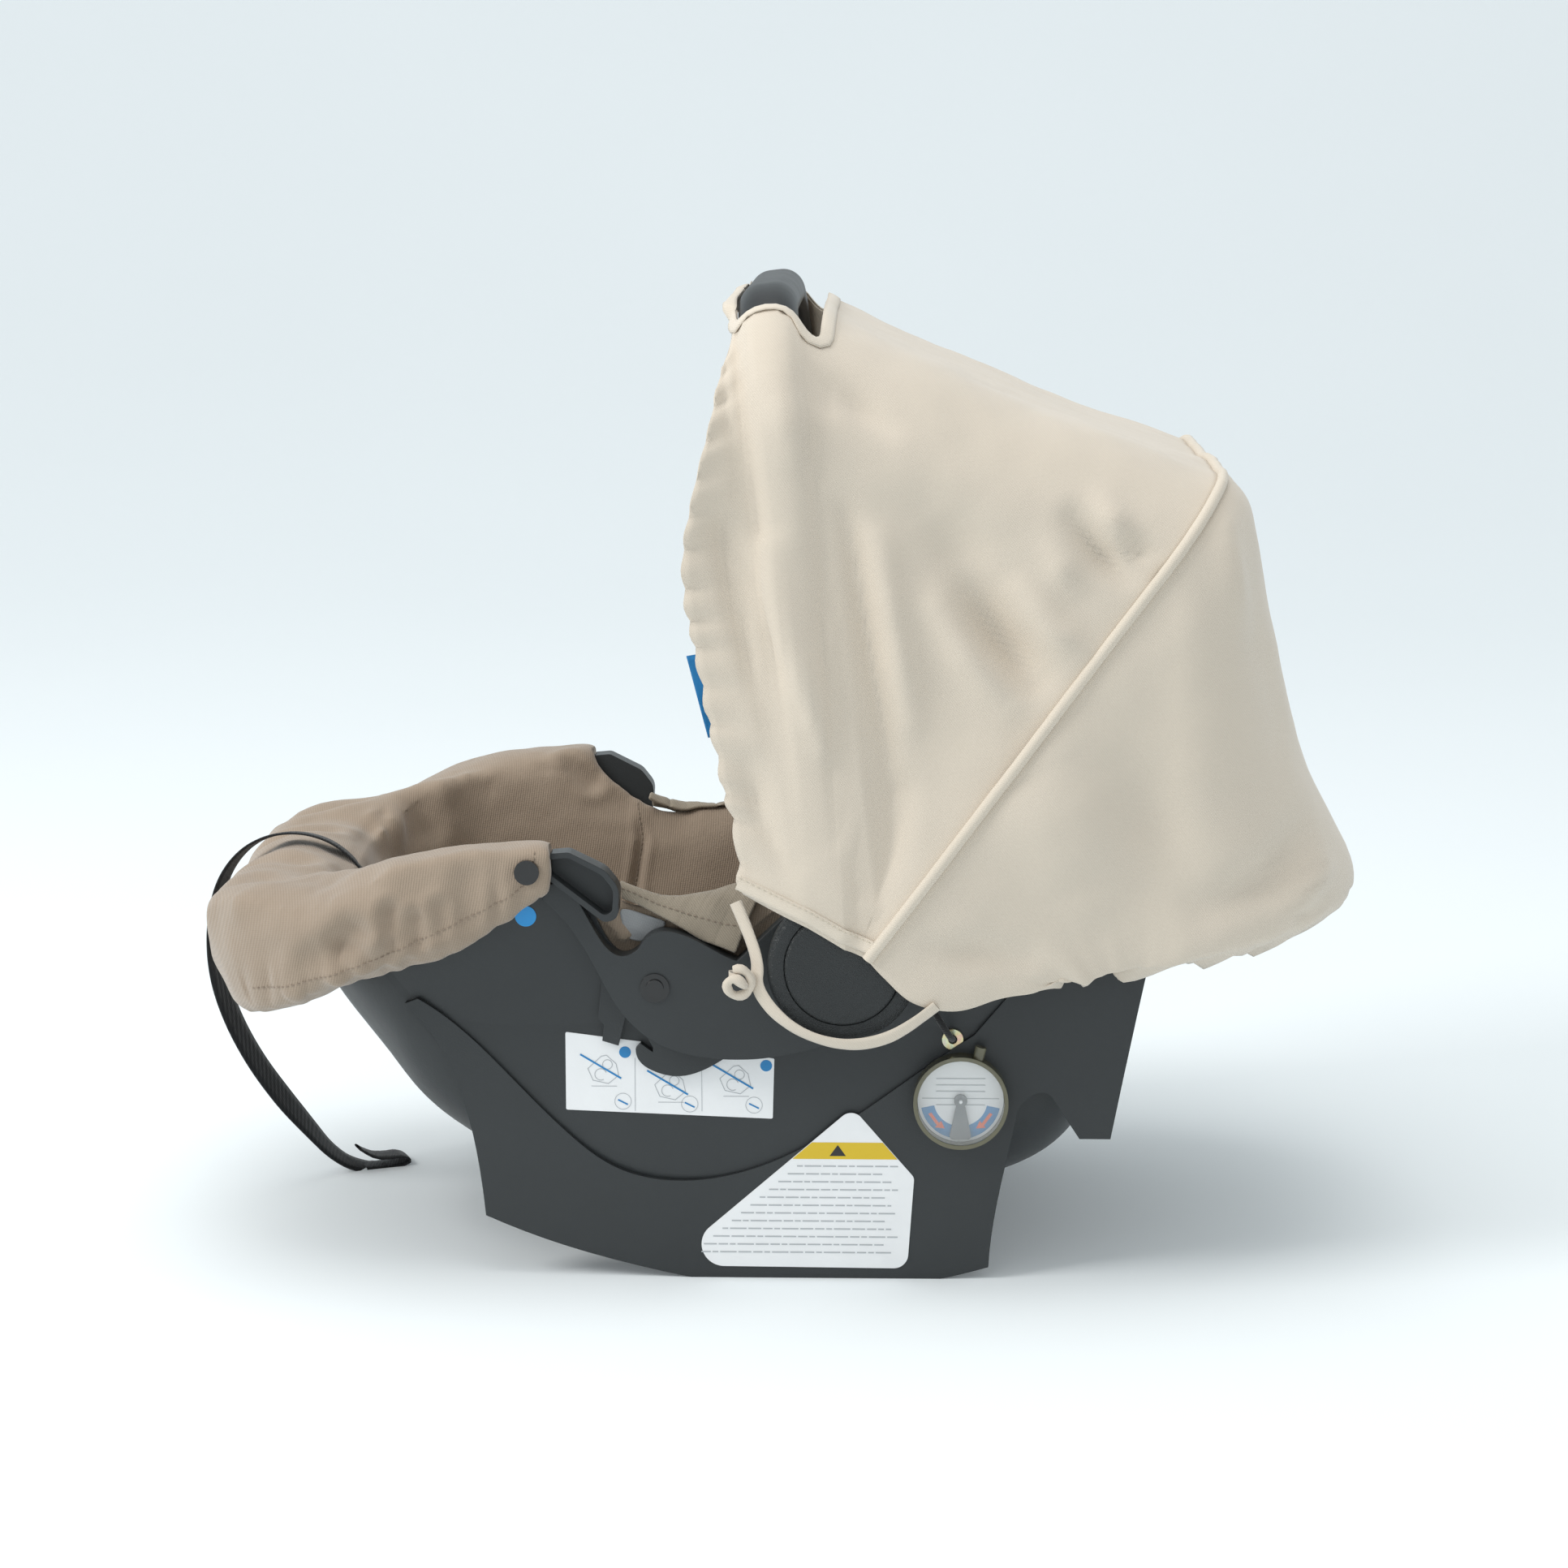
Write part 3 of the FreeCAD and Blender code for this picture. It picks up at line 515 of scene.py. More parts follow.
def aimed(item, place, aim):
    item.location = place
    item.rotation_mode = "QUATERNION"
    item.rotation_quaternion = (Vector(aim) - Vector(place)).to_track_quat("-Z", "Y")


def photo_camera():
    camera = bpy.data.objects.new("camera", bpy.data.cameras.new("camera"))
    bpy.context.scene.collection.objects.link(camera)
    camera.data.lens = CAMERA_LENS
    camera.data.sensor_width = CAMERA_SENSOR
    aimed(camera, CAMERA_PLACE, CAMERA_AIM)
    bpy.context.scene.camera = camera


def area_light(name, place, aim, size, power, color):
    light = bpy.data.objects.new(name, bpy.data.lights.new(name, "AREA"))
    bpy.context.scene.collection.objects.link(light)
    light.data.shape = "RECTANGLE"
    light.data.size, light.data.size_y = size
    light.data.energy = power
    light.data.color = color
    aimed(light, place, aim)


def studio():
    world = bpy.data.worlds.new("studio")
    world.use_nodes = True
    background = world.node_tree.nodes["Background"]
    background.inputs["Color"].default_value = SKY_COLOR
    background.inputs["Strength"].default_value = SKY_STRENGTH
    bpy.context.scene.world = world
    area_light("top_softbox", (-0.2, -0.3, 3.4), (0, 0, 0.2), (2.2, 2.2), 36, (1.0, 0.99, 0.97))
    area_light("key_softbox", (-2.6, -1.3, 2.3), (0, 0, 0.3), (1.2, 1.2), 54, (1.0, 0.985, 0.965))
    bpy.context.scene.view_settings.view_transform = "Standard"

    rows = [[(x, y, z) for x in (-9.0, -3.0, 3.0, 9.0)] for y, z in PAPER]
    shade = Shader("paper", (0.84, 0.885, 0.905), 0.9, Emission_Color=(0.86, 0.92, 0.95, 1.0),
                   Emission_Strength=0.09)
    shade.paint(shade.tint(shade.noise(0.9), 0.01), shade.between(shade.noise(0.01), 0.85, 0.95))
    shade.bump((shade.noise(0.002), 0.00002))
    floor = grid_object("backdrop", rows, shade.material)
    modified(floor, "SUBSURF", levels=3, render_levels=3)


# ---------------------------------------------------------------- cords

TAIL_ROUTE = metres([
    (-196.6, 0, 107.2), (-213, 0, 126), (-225, 0, 153), (-243, 0, 183), (-260, -1, 213), (-282, -2, 244),
    (-310, -3, 255), (-340, -4, 250), (-361, -5, 228), (-369, -4, 196), (-369, 0, 162), (-362, 8, 130),
    (-350, 20, 98), (-335, 36, 68), (-318, 53, 40), (-305, 66, 19), (-290, 76, 6.5), (-275, 82, 3.4),
])
ELASTIC_ROUTE = metres([
    (92, -183, 193), (98, -186, 182), (106, -182, 168), (110.5, -172, 159), (111, -160.6, 157),
])
# the stitched end of the tail, as (along, up) from where the strap lies down
TAIL_FOLD = metres([
    (0, 1.2), (12, 0.4), (26, 1.2), (32.5, 4.2), (26, 7.6), (14, 6.8), (4, 9.2), (-3, 14.5),
])
STRAP_WIDE, TAIL_LENGTH = 0.020, 0.521
ELASTIC_SIZE, ELASTIC_LENGTH = 0.004, 0.053


def make_cords():
    line = spaced(nurbs_points(TAIL_ROUTE, resolution=12), 0.003)
    ups = []
    for i, (_, along, _, _) in enumerate(frames(line, Vector((0.0, 0.0, 1.0)))):
        share = i / (len(line) - 1)
        twist = 8 + 14 * smooth_step((share - 0.35) / 0.3) - 18 * smooth_step((share - 0.8) / 0.15)
        twist = math.radians(twist)
        side = Vector((0.0, 1.0, 0.0))
        side = (side - along * side.dot(along)).normalized()
        flat = side.cross(along).normalized()
        ups.append(flat * math.cos(twist) + side * math.sin(twist))
    tail = strip("adjuster_tail_strap", line, ups, STRAP_WIDE, 0.0017, MATERIALS["webbing"])
    tip = line[-5]
    ahead = (line[-1] - line[-4]).normalized()
    ahead = Vector((ahead.x, ahead.y, 0.0)).normalized()
    bent = [tip + ahead * a + Vector((0, 0, b - 0.0012)) for a, b in TAIL_FOLD]
    bent = spaced(nurbs_points(bent, resolution=8), 0.0015)
    across = ahead.cross(Vector((0.0, 0.0, 1.0)))
    ups = [across.cross(along_at(bent, i)) for i in range(len(bent))]
    end = strip("adjuster_tail_fold", bent, ups, STRAP_WIDE, 0.0019, MATERIALS["webbing"])
    for vertex in end.data.vertices:
        vertex.co.z = max(vertex.co.z + 0.0006 * noise.noise(vertex.co * 300), 0.0003)
    for piece, node in ((tail, "adjuster_tail"), (end, "tail_end")):
        belongs(piece)
        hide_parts(node)

    line = spaced(nurbs_points(ELASTIC_ROUTE, resolution=12), 0.0015)
    cord = pipe("canopy_elastic_cord", line, ELASTIC_SIZE / 2, MATERIALS["elastic"], 12)
    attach(cord, "shell")
    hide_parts("canopy_elastic")


# ---------------------------------------------------------------- canopy

FOLD_SCALE = 2.3            # how much deeper the folds are than their tables say
COLUMNS = 250               # across the canopy, hem to hem
CLOTH = 0.0012
CLOTH_LIFT = 0.0021         # from the frame to the cloth's outer face
LEG, CORNER = 0.5, 0.28     # |v| where the leg ends and where the roof starts; v is -1 to 1, near to far
SCALLOP = 0.021             # between the gathers of the front edge
SIDE_Y = 0.17               # cloth further out than this is a side


def fan_point(degrees, radius, across=0.0):
    """(x, z) at an angle above the floor from the pivot, moved across that line towards the head end."""
    a = math.radians(degrees)
    return (PIVOT.x + radius * math.cos(a) + across * math.sin(a),
            PIVOT.z + radius * math.sin(a) - across * math.cos(a))


def arch(bottom, top, low_half, high_half, corner):
    """Two legs and a roof with rounded corners, as a function of v."""
    start = Vector((bottom[0], 0.0, bottom[1]))
    run = Vector((top[0], 0.0, top[1])) - start
    length = run.length
    run.normalize()

    def at(v):
        share = abs(v)
        if share >= LEG:
            up = (1 - share) / (1 - LEG) * (length - corner)
            half = mixed(low_half, high_half, smooth_step(up / (length - corner)))
        elif share >= CORNER:
            turn = (LEG - share) / (LEG - CORNER) * math.pi / 2
            half = high_half - corner + corner * math.cos(turn)
            up = length - corner + corner * math.sin(turn)
        else:
            half, up = (high_half - corner) * share / CORNER, length
        return start + run * up + Vector((0.0, math.copysign(half, v), 0.0))
    return at


def through(knots, at):
    """Smooth interpolation of (place, value) knots."""
    i = 0
    while i < len(knots) - 2 and knots[i + 1][0] < at:
        i += 1
    a, b = knots[i], knots[i + 1]
    f = max(0.0, min(1.0, (at - a[0]) / (b[0] - a[0])))
    before = knots[max(i - 1, 0)]
    after = knots[min(i + 2, len(knots) - 1)]
    step = b[0] - a[0]
    m0 = (b[1] - before[1]) / (b[0] - before[0]) * step
    m1 = (after[1] - a[1]) / (after[0] - a[0]) * step
    return ((2 * f ** 3 - 3 * f ** 2 + 1) * a[1] + (f ** 3 - 2 * f ** 2 + f) * m0
            + (3 * f ** 2 - 2 * f ** 3) * b[1] + (f ** 3 - f ** 2) * m1)


def between_sections(sections, u, v):
    """A point on the smooth skin through sections; u counts the sections."""
    i = min(int(u), len(sections) - 2)
    f = u - i
    p0, p1, p2, p3 = (sections[max(0, min(len(sections) - 1, i + k))](v) for k in (-1, 0, 1, 2))
    return 0.5 * ((2 * p1) + (p2 - p0) * f + (2 * p0 - 5 * p1 + 4 * p2 - p3) * f ** 2
                  + (3 * p1 - p0 - 3 * p2 + p3) * f ** 3)


# x of the front edge, by height
FRONT_EDGE = metres([
    (250, -16), (262, -18), (290, -20), (320, -27), (345, -32), (375, -38.5), (403, -43.5), (430, -49),
    (460, -50), (494, -44), (536, -34), (560, -29.5), (580, -24.5), (596, -22.5),
])
CLOTH_OVER_GRIP = 0.4065    # from the pivot
# rows of cloth over the handle: how far across it, and how far below its top
BAR_ROWS = metres([
    (-19.8, 11), (-15, 3.5), (-7.5, 0.3), (0, 0), (7.5, 0.3), (15, 3.5), (20, 9.5),
])
SLOT_HALF, SLOT_REAR_HALF = 0.155, 0.165    # the grip's slot, across the seat


def front_edge():
    base = arch((-0.030, 0.257), (-0.030, 0.5935), 0.211, 0.2090, 0.1)

    def at(v):
        point = base(v)
        point.x = through(FRONT_EDGE, point.z)
        return point
    return at


def bar_row(across, drop):
    top = fan_point(HANDLE_ANGLE, CLOTH_OVER_GRIP - drop, across)
    bottom = (0.034 + 0.55 * across, 0.232 - 0.33 * across)
    return arch(bottom, top, 0.2192, 0.2098 - drop, 0.105 - drop / 2)


def bow_row():
    return arch((0.0585, 0.2195), fan_point(BOW_ANGLE, 0.3645), 0.2192, 0.1955, 0.070)


# the rear panel's arches: bottom, top, half widths there, corner radius
REAR = metres([
    ((68, 209), (289.5, 480), 219.5, 197, 76),
    ((86, 193), (304, 412), 218.5, 197, 88),
    ((112, 187), (326.5, 330), 213, 198, 105),
    ((142, 194), (361.5, 250), 206, 198, 126),
    ((160, 199), (352, 226), 201, 192, 127),
    ((170, 199), (328, 212), 190, 180, 118),
])

# (side view line, width, depth): the cloth's valleys, and its ridges where depth is negative
FRONT_FOLDS = metres([
    ([(-26, 472), (-8, 413), (12, 355), (30, 297)], 9.5, 5.2),
    ([(-4, 462), (12, 405), (30, 345)], 10, -4),
    ([(42, 478), (52, 423), (60, 368), (70, 322)], 10, 5.8),
    ([(64, 466), (73, 415), (84, 362)], 11, -4),
    ([(121, 434), (137, 409), (156, 386)], 12, 6.8),
    ([(100, 424), (118, 398), (142, 372)], 12, -3.8),
    ([(150, 436), (166, 414), (182, 402)], 10, -3.6),
    ([(180, 478), (196, 458), (208, 447)], 8.5, 5.2),
    ([(196, 486), (212, 464)], 8, -3.4),
    ([(208, 470), (228, 448)], 7, 3.6),
    ([(166, 458), (178, 440)], 8, -2.6),
    ([(96, 480), (123, 442)], 18, 3.4),
    ([(25, 562), (34, 546)], 6, 2.8),
    ([(38, 558), (68, 533)], 8, 3),
    ([(-20, 560), (-4, 520), (-2, 480)], 12, 3),
    ([(4, 556), (14, 520)], 10, -2.2),
    ([(-12, 330), (10, 280)], 9, 3.4),
    ([(78, 318), (62, 262)], 11, 3.4),
])
REAR_FOLDS = metres([
    ([(292, 462), (300, 400), (314, 345)], 12, 3.6),
    ([(272, 470), (280, 420)], 10, -2.6),
    ([(160, 330), (190, 262)], 30, -4.2),
    ([(215, 330), (250, 262)], 22, 3.6),
    ([(330, 292), (300, 262), (262, 246)], 13, 4),
    ([(345, 268), (312, 244)], 9, -3.4),
    ([(100, 226), (150, 218)], 10, 3),
])


def line_distance(x, z, line):
    """How far (x, z) is from a line, and how far along it, 0 to 1."""
    best, along = 1.0, 0.0
    spans = len(line) - 1
    for i, ((ax, az), (bx, bz)) in enumerate(zip(line, line[1:])):
        dx, dz = bx - ax, bz - az
        f = max(0.0, min(1.0, ((x - ax) * dx + (z - az) * dz) / (dx * dx + dz * dz)))
        found = math.hypot(ax + dx * f - x, az + dz * f - z)
        if found < best:
            best, along = found, (i + f) / spans
    return best, along


def fold_depth(point, folds):
    """How far the folds push the cloth in."""
    x, z = point.x, point.z
    if point.y > 0:         # the far side hangs a little differently
        x, z = x + 0.006, z - 0.009
    total = 0.0
    for line, width, depth in folds:
        distance, along = line_distance(x, z, line)
        if distance < 3 * width:
            total += depth * math.exp(-(distance / width) ** 2) * (0.45 + 0.55 * math.sin(math.pi * along))
    return total


def room_under(point):
    """How far the cloth can be pushed in before it meets the handle or the bow."""
    x, z = point.x - PIVOT.x, point.z - PIVOT.z
    room = 1.0
    for angle, half, spare in ((HANDLE_ANGLE, 0.0245, 0.0009), (BOW_ANGLE, 0.008, 0.0030)):
        a = math.radians(angle)
        across = abs(x * math.sin(a) - z * math.cos(a))
        if x * math.cos(a) + z * math.sin(a) > 0.03:
            room = min(room, spare + 0.42 * max(0.0, across - half))
    return room


def row_normals(rows):
    normals = []
    for i, row in enumerate(rows):
        up, down = rows[min(i + 1, len(rows) - 1)], rows[max(i - 1, 0)]
        line = []
        for j in range(len(row)):
            left, right = row[max(j - 1, 0)], row[min(j + 1, len(row) - 1)]
            line.append((up[j] - down[j]).cross(right - left).normalized())
        normals.append(line)
    return normals


def smoothed(rows, times, keep):
    """Rows with each point moved half way to its neighbours' middle, except where keep(i, j)."""
    for _ in range(times):
        rows = [[p if keep(i, j) else
                 (p + (rows[i - 1][j] + rows[i + 1][j] + row[j - 1] + row[j + 1]) / 4) / 2
                 for j, p in enumerate(row)] for i, row in enumerate(rows)]
    return rows


def draped(rows, folds, edge_row, edge_fade, edge_bump, soft=0.0024):
    """Pushes folds, soft unevenness and an edge's gathers into a sheet's rows."""
    normals = row_normals(rows)
    out = []
    for i, row in enumerate(rows):
        line = []
        run = 0.0
        for j, point in enumerate(row):
            normal = normals[i][j]
            on_side = abs(point.y) > SIDE_Y
            outward = Vector((0.0, point.y, point.z - 0.30)) if on_side else Vector((0.1, 0.0, 1.0))
            if normal.dot(outward) < 0:
                normal = -normal
            side = smooth_step((abs(normal.y) - 0.25) / 0.5)
            depth = FOLD_SCALE * fold_depth(point, folds) * side
            depth += soft * noise.noise(point * 14.0) + 0.35 * soft * noise.noise(point * 45.0)
            depth = min(depth, room_under(point))
            edge = rows[edge_row][j]
            if j:
                run += (edge - rows[edge_row][j - 1]).length
            gather = math.exp(-((point - edge).length / edge_fade) ** 1.5)
            push, slide = edge_bump(run, j) if gather > 0.01 else (0.0, 0.0)
            inner = rows[edge_row + (1 if edge_row == 0 else -1)][j]
            away = (edge - inner).normalized()
            line.append(point - normal * depth + normal * push * gather + away * slide * gather ** 3)
        out.append(line)
    return out


def clear_of_frame(rows):
    """Side cloth lifted to where it just covers the handle, the bow and the hubs."""
    hard = ("handle_bar", "canopy_bow", "left_hub_cover", "right_hub_cover")
    trees = [surface_tree(NODES[name]) for name in hard]
    out = []
    for row in rows:
        line = []
        for point in row:
            if abs(point.y) > SIDE_Y:
                for tree in trees:
                    spot, normal, _, _ = tree.find_nearest(point, 0.010)
                    if spot is None or normal.y * point.y <= 0.3 * abs(point.y):
                        continue
                    short = CLOTH_LIFT - (point - spot).dot(normal)
                    if 0 < short < 0.008:
                        point = point + Vector((0.0, math.copysign(short, point.y), 0.0))
            line.append(point)
        out.append(line)
    return out


def canopy_weights(piece):
    """Each point's share of the handle's turn: all of it at the front, about half at the bow, none at the
    rear hem; the shares are worked out but not kept.
    """
    lean = math.radians(HANDLE_ANGLE)
    for vertex in piece.data.vertices:
        x, z = vertex.co.x - PIVOT.x, vertex.co.z - PIVOT.z
        angle = math.degrees(math.atan2(z, x))
        if angle < -90:
            angle += 360
        if angle < BOW_ANGLE:
            share = BOW_SHARE * max(0.0, angle - REAR_ANGLE) / (BOW_ANGLE - REAR_ANGLE)
        else:
            share = mixed(BOW_SHARE, 1.0, min(1.0, (angle - BOW_ANGLE) / (HANDLE_ANGLE - BOW_ANGLE)))
        across = x * math.sin(lean) - z * math.cos(lean)
        if z > 0:
            share = mixed(1.0, share, smooth_step((across - 0.026) / 0.035))


def bend_with_handle(piece):
    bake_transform(piece)
    canopy_weights(piece)


def front_rows():
    columns = [-1 + 2 * j / COLUMNS for j in range(COLUMNS + 1)]
    edge, bow = front_edge(), bow_row()
    bars = [bar_row(*b) for b in BAR_ROWS]
    rows = []
    ahead = 9
    for i in range(ahead):
        f = i / ahead
        rows.append([edge(v).lerp(bars[0](v), f) for v in columns])
    for bar in bars:
        rows.append([bar(v) for v in columns])
    behind = []
    for v in columns:
        roofward = smooth_step((LEG - abs(v)) / (LEG - CORNER))
        point = bars[-1](v).lerp(bow(v), mixed(0.030, 0.062, roofward))
        point.z -= 0.007 * roofward
        behind.append(point)
    rows.append([a.lerp(b, 0.5) for a, b in zip(rows[-1], behind)])
    rows.append(behind)
    count = 44
    for i in range(1, count + 1):
        f = i / count
        sag = 0.0035 * math.sin(math.pi * f)
        row = []
        for a, v in zip(behind, columns):
            point = a.lerp(bow(v), f)
            middle = Vector((PIVOT.x, 0.0, PIVOT.z))
            point += (middle - point).normalized() * sag
            row.append(point)
        rows.append(row)
    first_bar = ahead
    last_bar = ahead + len(BAR_ROWS) - 1
    return rows, first_bar, last_bar


def make_front_cloth():
    rows, first_bar, last_bar = front_rows()
    last = len(rows) - 1
    rows = smoothed(rows, 3, lambda i, j: i in (0, last) or j in (0, COLUMNS) or first_bar <= i <= last_bar)

    def scallops(run, j):
        wave = abs(math.sin(math.pi * (run / SCALLOP + 0.35 * noise.noise(Vector((run * 30, 0.3, 0))))))
        on_leg = smooth_step((abs(-1 + 2 * j / COLUMNS) - 0.34) / 0.08)
        return 0.0044 * (wave - 0.55) * on_leg, 0.0026 * (wave - 0.6) * on_leg
    rows = clear_of_frame(draped(rows, FRONT_FOLDS, 0, 0.015, scallops))

    def in_slot(i, j):
        middle = (rows[i][j] + rows[i + 1][j + 1]) / 2
        half = SLOT_HALF if i < last_bar else SLOT_REAR_HALF
        return first_bar <= i < last_bar + 2 and abs(middle.y) < half
    wide = COLUMNS + 1
    faces = [(i * wide + j, i * wide + j + 1, (i + 1) * wide + j + 1, (i + 1) * wide + j)
             for i in range(last) for j in range(COLUMNS) if not in_slot(i, j)]
    cloth = mesh_object("canopy_front_cloth", [p for row in rows for p in row], faces,
                        MATERIALS["canopy_fabric"])
    shape = bmesh.new()
    shape.from_mesh(cloth.data)
    bmesh.ops.delete(shape, geom=[v for v in shape.verts if not v.link_faces], context="VERTS")
    rim = [v for v in shape.verts if v.is_boundary and abs(v.co.y) < 0.17 and v.co.z > 0.53]
    inner = [v for v in rim if v.co.x > -0.0285]
    for _ in range(4):
        moved = {}
        for v in inner:
            near = [e.other_vert(v) for e in v.link_edges if e.is_boundary]
            if len(near) == 2:
                moved[v] = (v.co * 2 + near[0].co + near[1].co) / 4
        for v, place in moved.items():
            v.co = place
    shape.normal_update()
    start = min(inner, key=lambda v: (v.co - Vector((0.035, 0.0, 0.60))).length)
    loop, normals, last_one, here = [], [], None, start
    while here is not start or not loop:
        loop.append(here.co.copy())
        normals.append(here.normal.copy())
        following = [e.other_vert(here) for e in here.link_edges if e.is_boundary]
        following = [v for v in following if v is not last_one]
        last_one, here = here, following[0]
    shape.to_mesh(cloth.data)
    shape.free()
    return cloth, rows, loop, normals


def make_rear_cloth():
    columns = [-1 + 2 * j / COLUMNS for j in range(COLUMNS + 1)]
    sections = [bow_row()] + [arch(*r) for r in REAR]
    count = 60
    rows = [[between_sections(sections, (len(sections) - 1) * i / count, v) for v in columns]
            for i in range(count + 1)]
    rows = smoothed(rows, 2, lambda i, j: i in (0, count) or j in (0, COLUMNS))

    def ruffles(run, j):
        wave = noise.noise(Vector((run / 0.0085, 0.7, 0.0)))
        wave += 0.5 * noise.noise(Vector((run / 0.004, 2.7, 0.0)))
        return 0.0095 * wave, 0.0026 * wave
    rows = clear_of_frame(draped(rows, REAR_FOLDS, count, 0.026, ruffles))
    return grid_object("canopy_rear_cloth", rows, MATERIALS["canopy_fabric"]), rows


def thickened(piece, thickness, offset=-1.0):
    modified(piece, "SOLIDIFY", thickness=thickness, offset=offset)
    return baked(piece)


def face_outwards(piece, middle):
    shape = bmesh.new()
    shape.from_mesh(piece.data)
    flip = [f for f in shape.faces if f.normal.dot(f.calc_center_median() - middle) < 0]
    if len(flip) > len(shape.faces) / 2:
        bmesh.ops.reverse_faces(shape, faces=shape.faces[:])
    shape.to_mesh(piece.data)
    shape.free()


def make_canopy():
    middle = Vector((0.08, 0.0, 0.30))
    front, rows, slot_rim, slot_ups = make_front_cloth()
    rear, rear_rows = make_rear_cloth()
    for piece, node in ((front, "canopy_front"), (rear, "canopy_rear")):
        face_outwards(piece, middle)
        thickened(piece, CLOTH)
        bend_with_handle(piece)
        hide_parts(node)

    centre = sum(slot_rim, Vector()) / len(slot_rim)
    outer = []
    for k, point in enumerate(slot_rim):
        away = point - centre
        away = Vector((away.x, 0.15 * away.y, 0.0))
        up = slot_ups[k] if slot_ups[k].z > 0 else -slot_ups[k]
        slot_ups[k] = up
        ahead = (slot_rim[(k + 1) % len(slot_rim)] - slot_rim[k - 1]).normalized()
        side = ahead.cross(up).normalized()
        side = side if side.dot(away) > 0 else -side
        outer.append(point + side * 0.0036 + up * 0.0007)
    binding = strip("slot_binding", outer, slot_ups, 0.0088, 0.0013, CANOPY_BAND, closed=True, crown=0.0003)
    hems = []
    for j in (1, COLUMNS - 1):
        line = [row[j].copy() for row in rows]
        across = math.copysign(1.0, line[0].y)
        line = [p + Vector((0.0, across * 0.0010, 0.0034)) for p in spaced(line, 0.003)]
        hems.append(strip("hem", line, Vector((0.0, across, 0.05)), 0.0085, 0.0014, CANOPY_BAND,
                          crown=0.0002))
        sewn = [p + Vector((0.0, across * 0.0009, 0.0034)) for p in line]
        hems.append(stitches("sewn", sewn, Vector((0.0, across, 0.0)), CANOPY_THREAD))
    band = joined("canopy_bindings", [binding] + hems)
    bend_with_handle(band)

    line = spaced([p.copy() for p in rear_rows[0]], 0.004)
    ups = [(p - Vector((0.05, 0.0, 0.26))).normalized() for p in line]
    piping = pipe("canopy_piping", [p + u * 0.0012 for p, u in zip(line, ups)], 0.0034, CANOPY_BAND, 10,
                  ripple=lambda i: 1.0 + 0.05 * noise.noise(Vector((i * 0.7, 0.0, 0.0))))
    belongs(piping, "canopy")


# ---------------------------------------------------------------- pad

PAD_VOXEL = 0.005
SWELL_LIMIT = 0.008
SNAP_X, SNAP_Z, SNAP_REST = -0.145, 0.267, 0.1966      # the flap snap, and the pad's |y| under it

# (line, width, depth) of the creases pressed into the pad
PAD_CREASES = metres([
    ([(-290, 100, 272), (-262, 108, 276), (-246, 112, 260), (-239, 110, 236)], 13, 8.5),
    ([(-285, 66, 272), (-263, 70, 258), (-248, 72, 238)], 10, 6),
    ([(-275, 20, 262), (-252, 18, 240)], 9, 4),
    ([(-272, -85, 268), (-247, -88, 240)], 11, 5.5),
    ([(-154, 152, 290), (-143, 150, 273), (-132, 150, 262)], 7, 4),
    ([(-103, 146, 262), (-97, 142, 222), (-103, 138, 183), (-105, 120, 120)], 3.5, 3.5),
    ([(-103, -146, 262), (-97, -142, 222), (-103, -138, 183), (-105, -120, 120)], 3.5, 3.5),
    ([(-293, -193, 193), (-283, -195, 207), (-265, -196, 216), (-252, -197, 226)], 10, 7),
    ([(-261, -196, 220), (-255, -196, 203)], 7, 4.5),
    ([(-248, -196, 216), (-243, -196, 204)], 5.5, 3.5),
    ([(-227, -197, 242), (-225, -197, 226)], 6, 4.2),
    ([(-213, -197, 238), (-212, -197, 224)], 5.5, 4),
    ([(-240, -197, 211), (-229, -197, 218)], 6, 3.4),
    ([(-198, -198, 246), (-200, -198, 230)], 5, 2.8),
    ([(-180, -198, 262), (-185, -198, 240)], 9, 2.6),
    ([(-314, -170, 245), (-281, -188, 262), (-250, -190, 268)], 14, 4),
    ([(-330, -100, 238), (-300, -120, 250)], 12, 4.5),
    ([(-335, -40, 236), (-305, -50, 246)], 10, 3.5),
    ([(-335, 45, 236), (-303, 55, 246)], 10, 4),
    ([(-325, 120, 235), (-296, 135, 250)], 12, 4.5),
    ([(-261, 196, 222), (-252, 196, 205)], 7, 5),
    ([(-235, 197, 236), (-230, 197, 218)], 6, 4.5),
    ([(-205, 198, 246), (-204, 198, 228)], 6, 4),
    ([(-290, 194, 196), (-268, 196, 216), (-250, 197, 232)], 10, 6),
])
FLAP_EDGE = metres([
    (-318, 186), (-293, 192), (-260, 203), (-235, 213), (-205, 227), (-178, 240), (-155, 252),
    (-142.5, 262), (-140.5, 276), (-140.5, 289),
])


def triples(collection, key):
    found = np.empty(len(collection) * 3)
    collection.foreach_get(key, found)
    return found.reshape(-1, 3)


def places(piece):
    return triples(piece.data.vertices, "co")


def vertex_normals(piece):
    return triples(piece.data.vertex_normals, "vector")


def place(piece, points):
    piece.data.vertices.foreach_set("co", points.ravel())
    piece.data.update()


def pressed(piece, creases):
    """Pushes creases into a surface."""
    points, normals = places(piece), vertex_normals(piece)
    depth_at = np.zeros(len(points))
    for line, width, depth in creases:
        nearest = np.full(len(points), 1.0)
        for a, b in zip(line, line[1:]):
            a, b = np.array(a), np.array(b)
            along = np.clip(((points - a) @ (b - a)) / ((b - a) @ (b - a)), 0, 1)
            away = points - a - along[:, None] * (b - a)
            nearest = np.minimum(nearest, np.linalg.norm(away, axis=1))
        valley = np.exp(-(nearest / width) ** 2)
        rim = 0.35 * np.exp(-((nearest - 1.7 * width) / (0.7 * width)) ** 2)
        depth_at += depth * (valley - rim)
    place(piece, points - normals * depth_at[:, None])


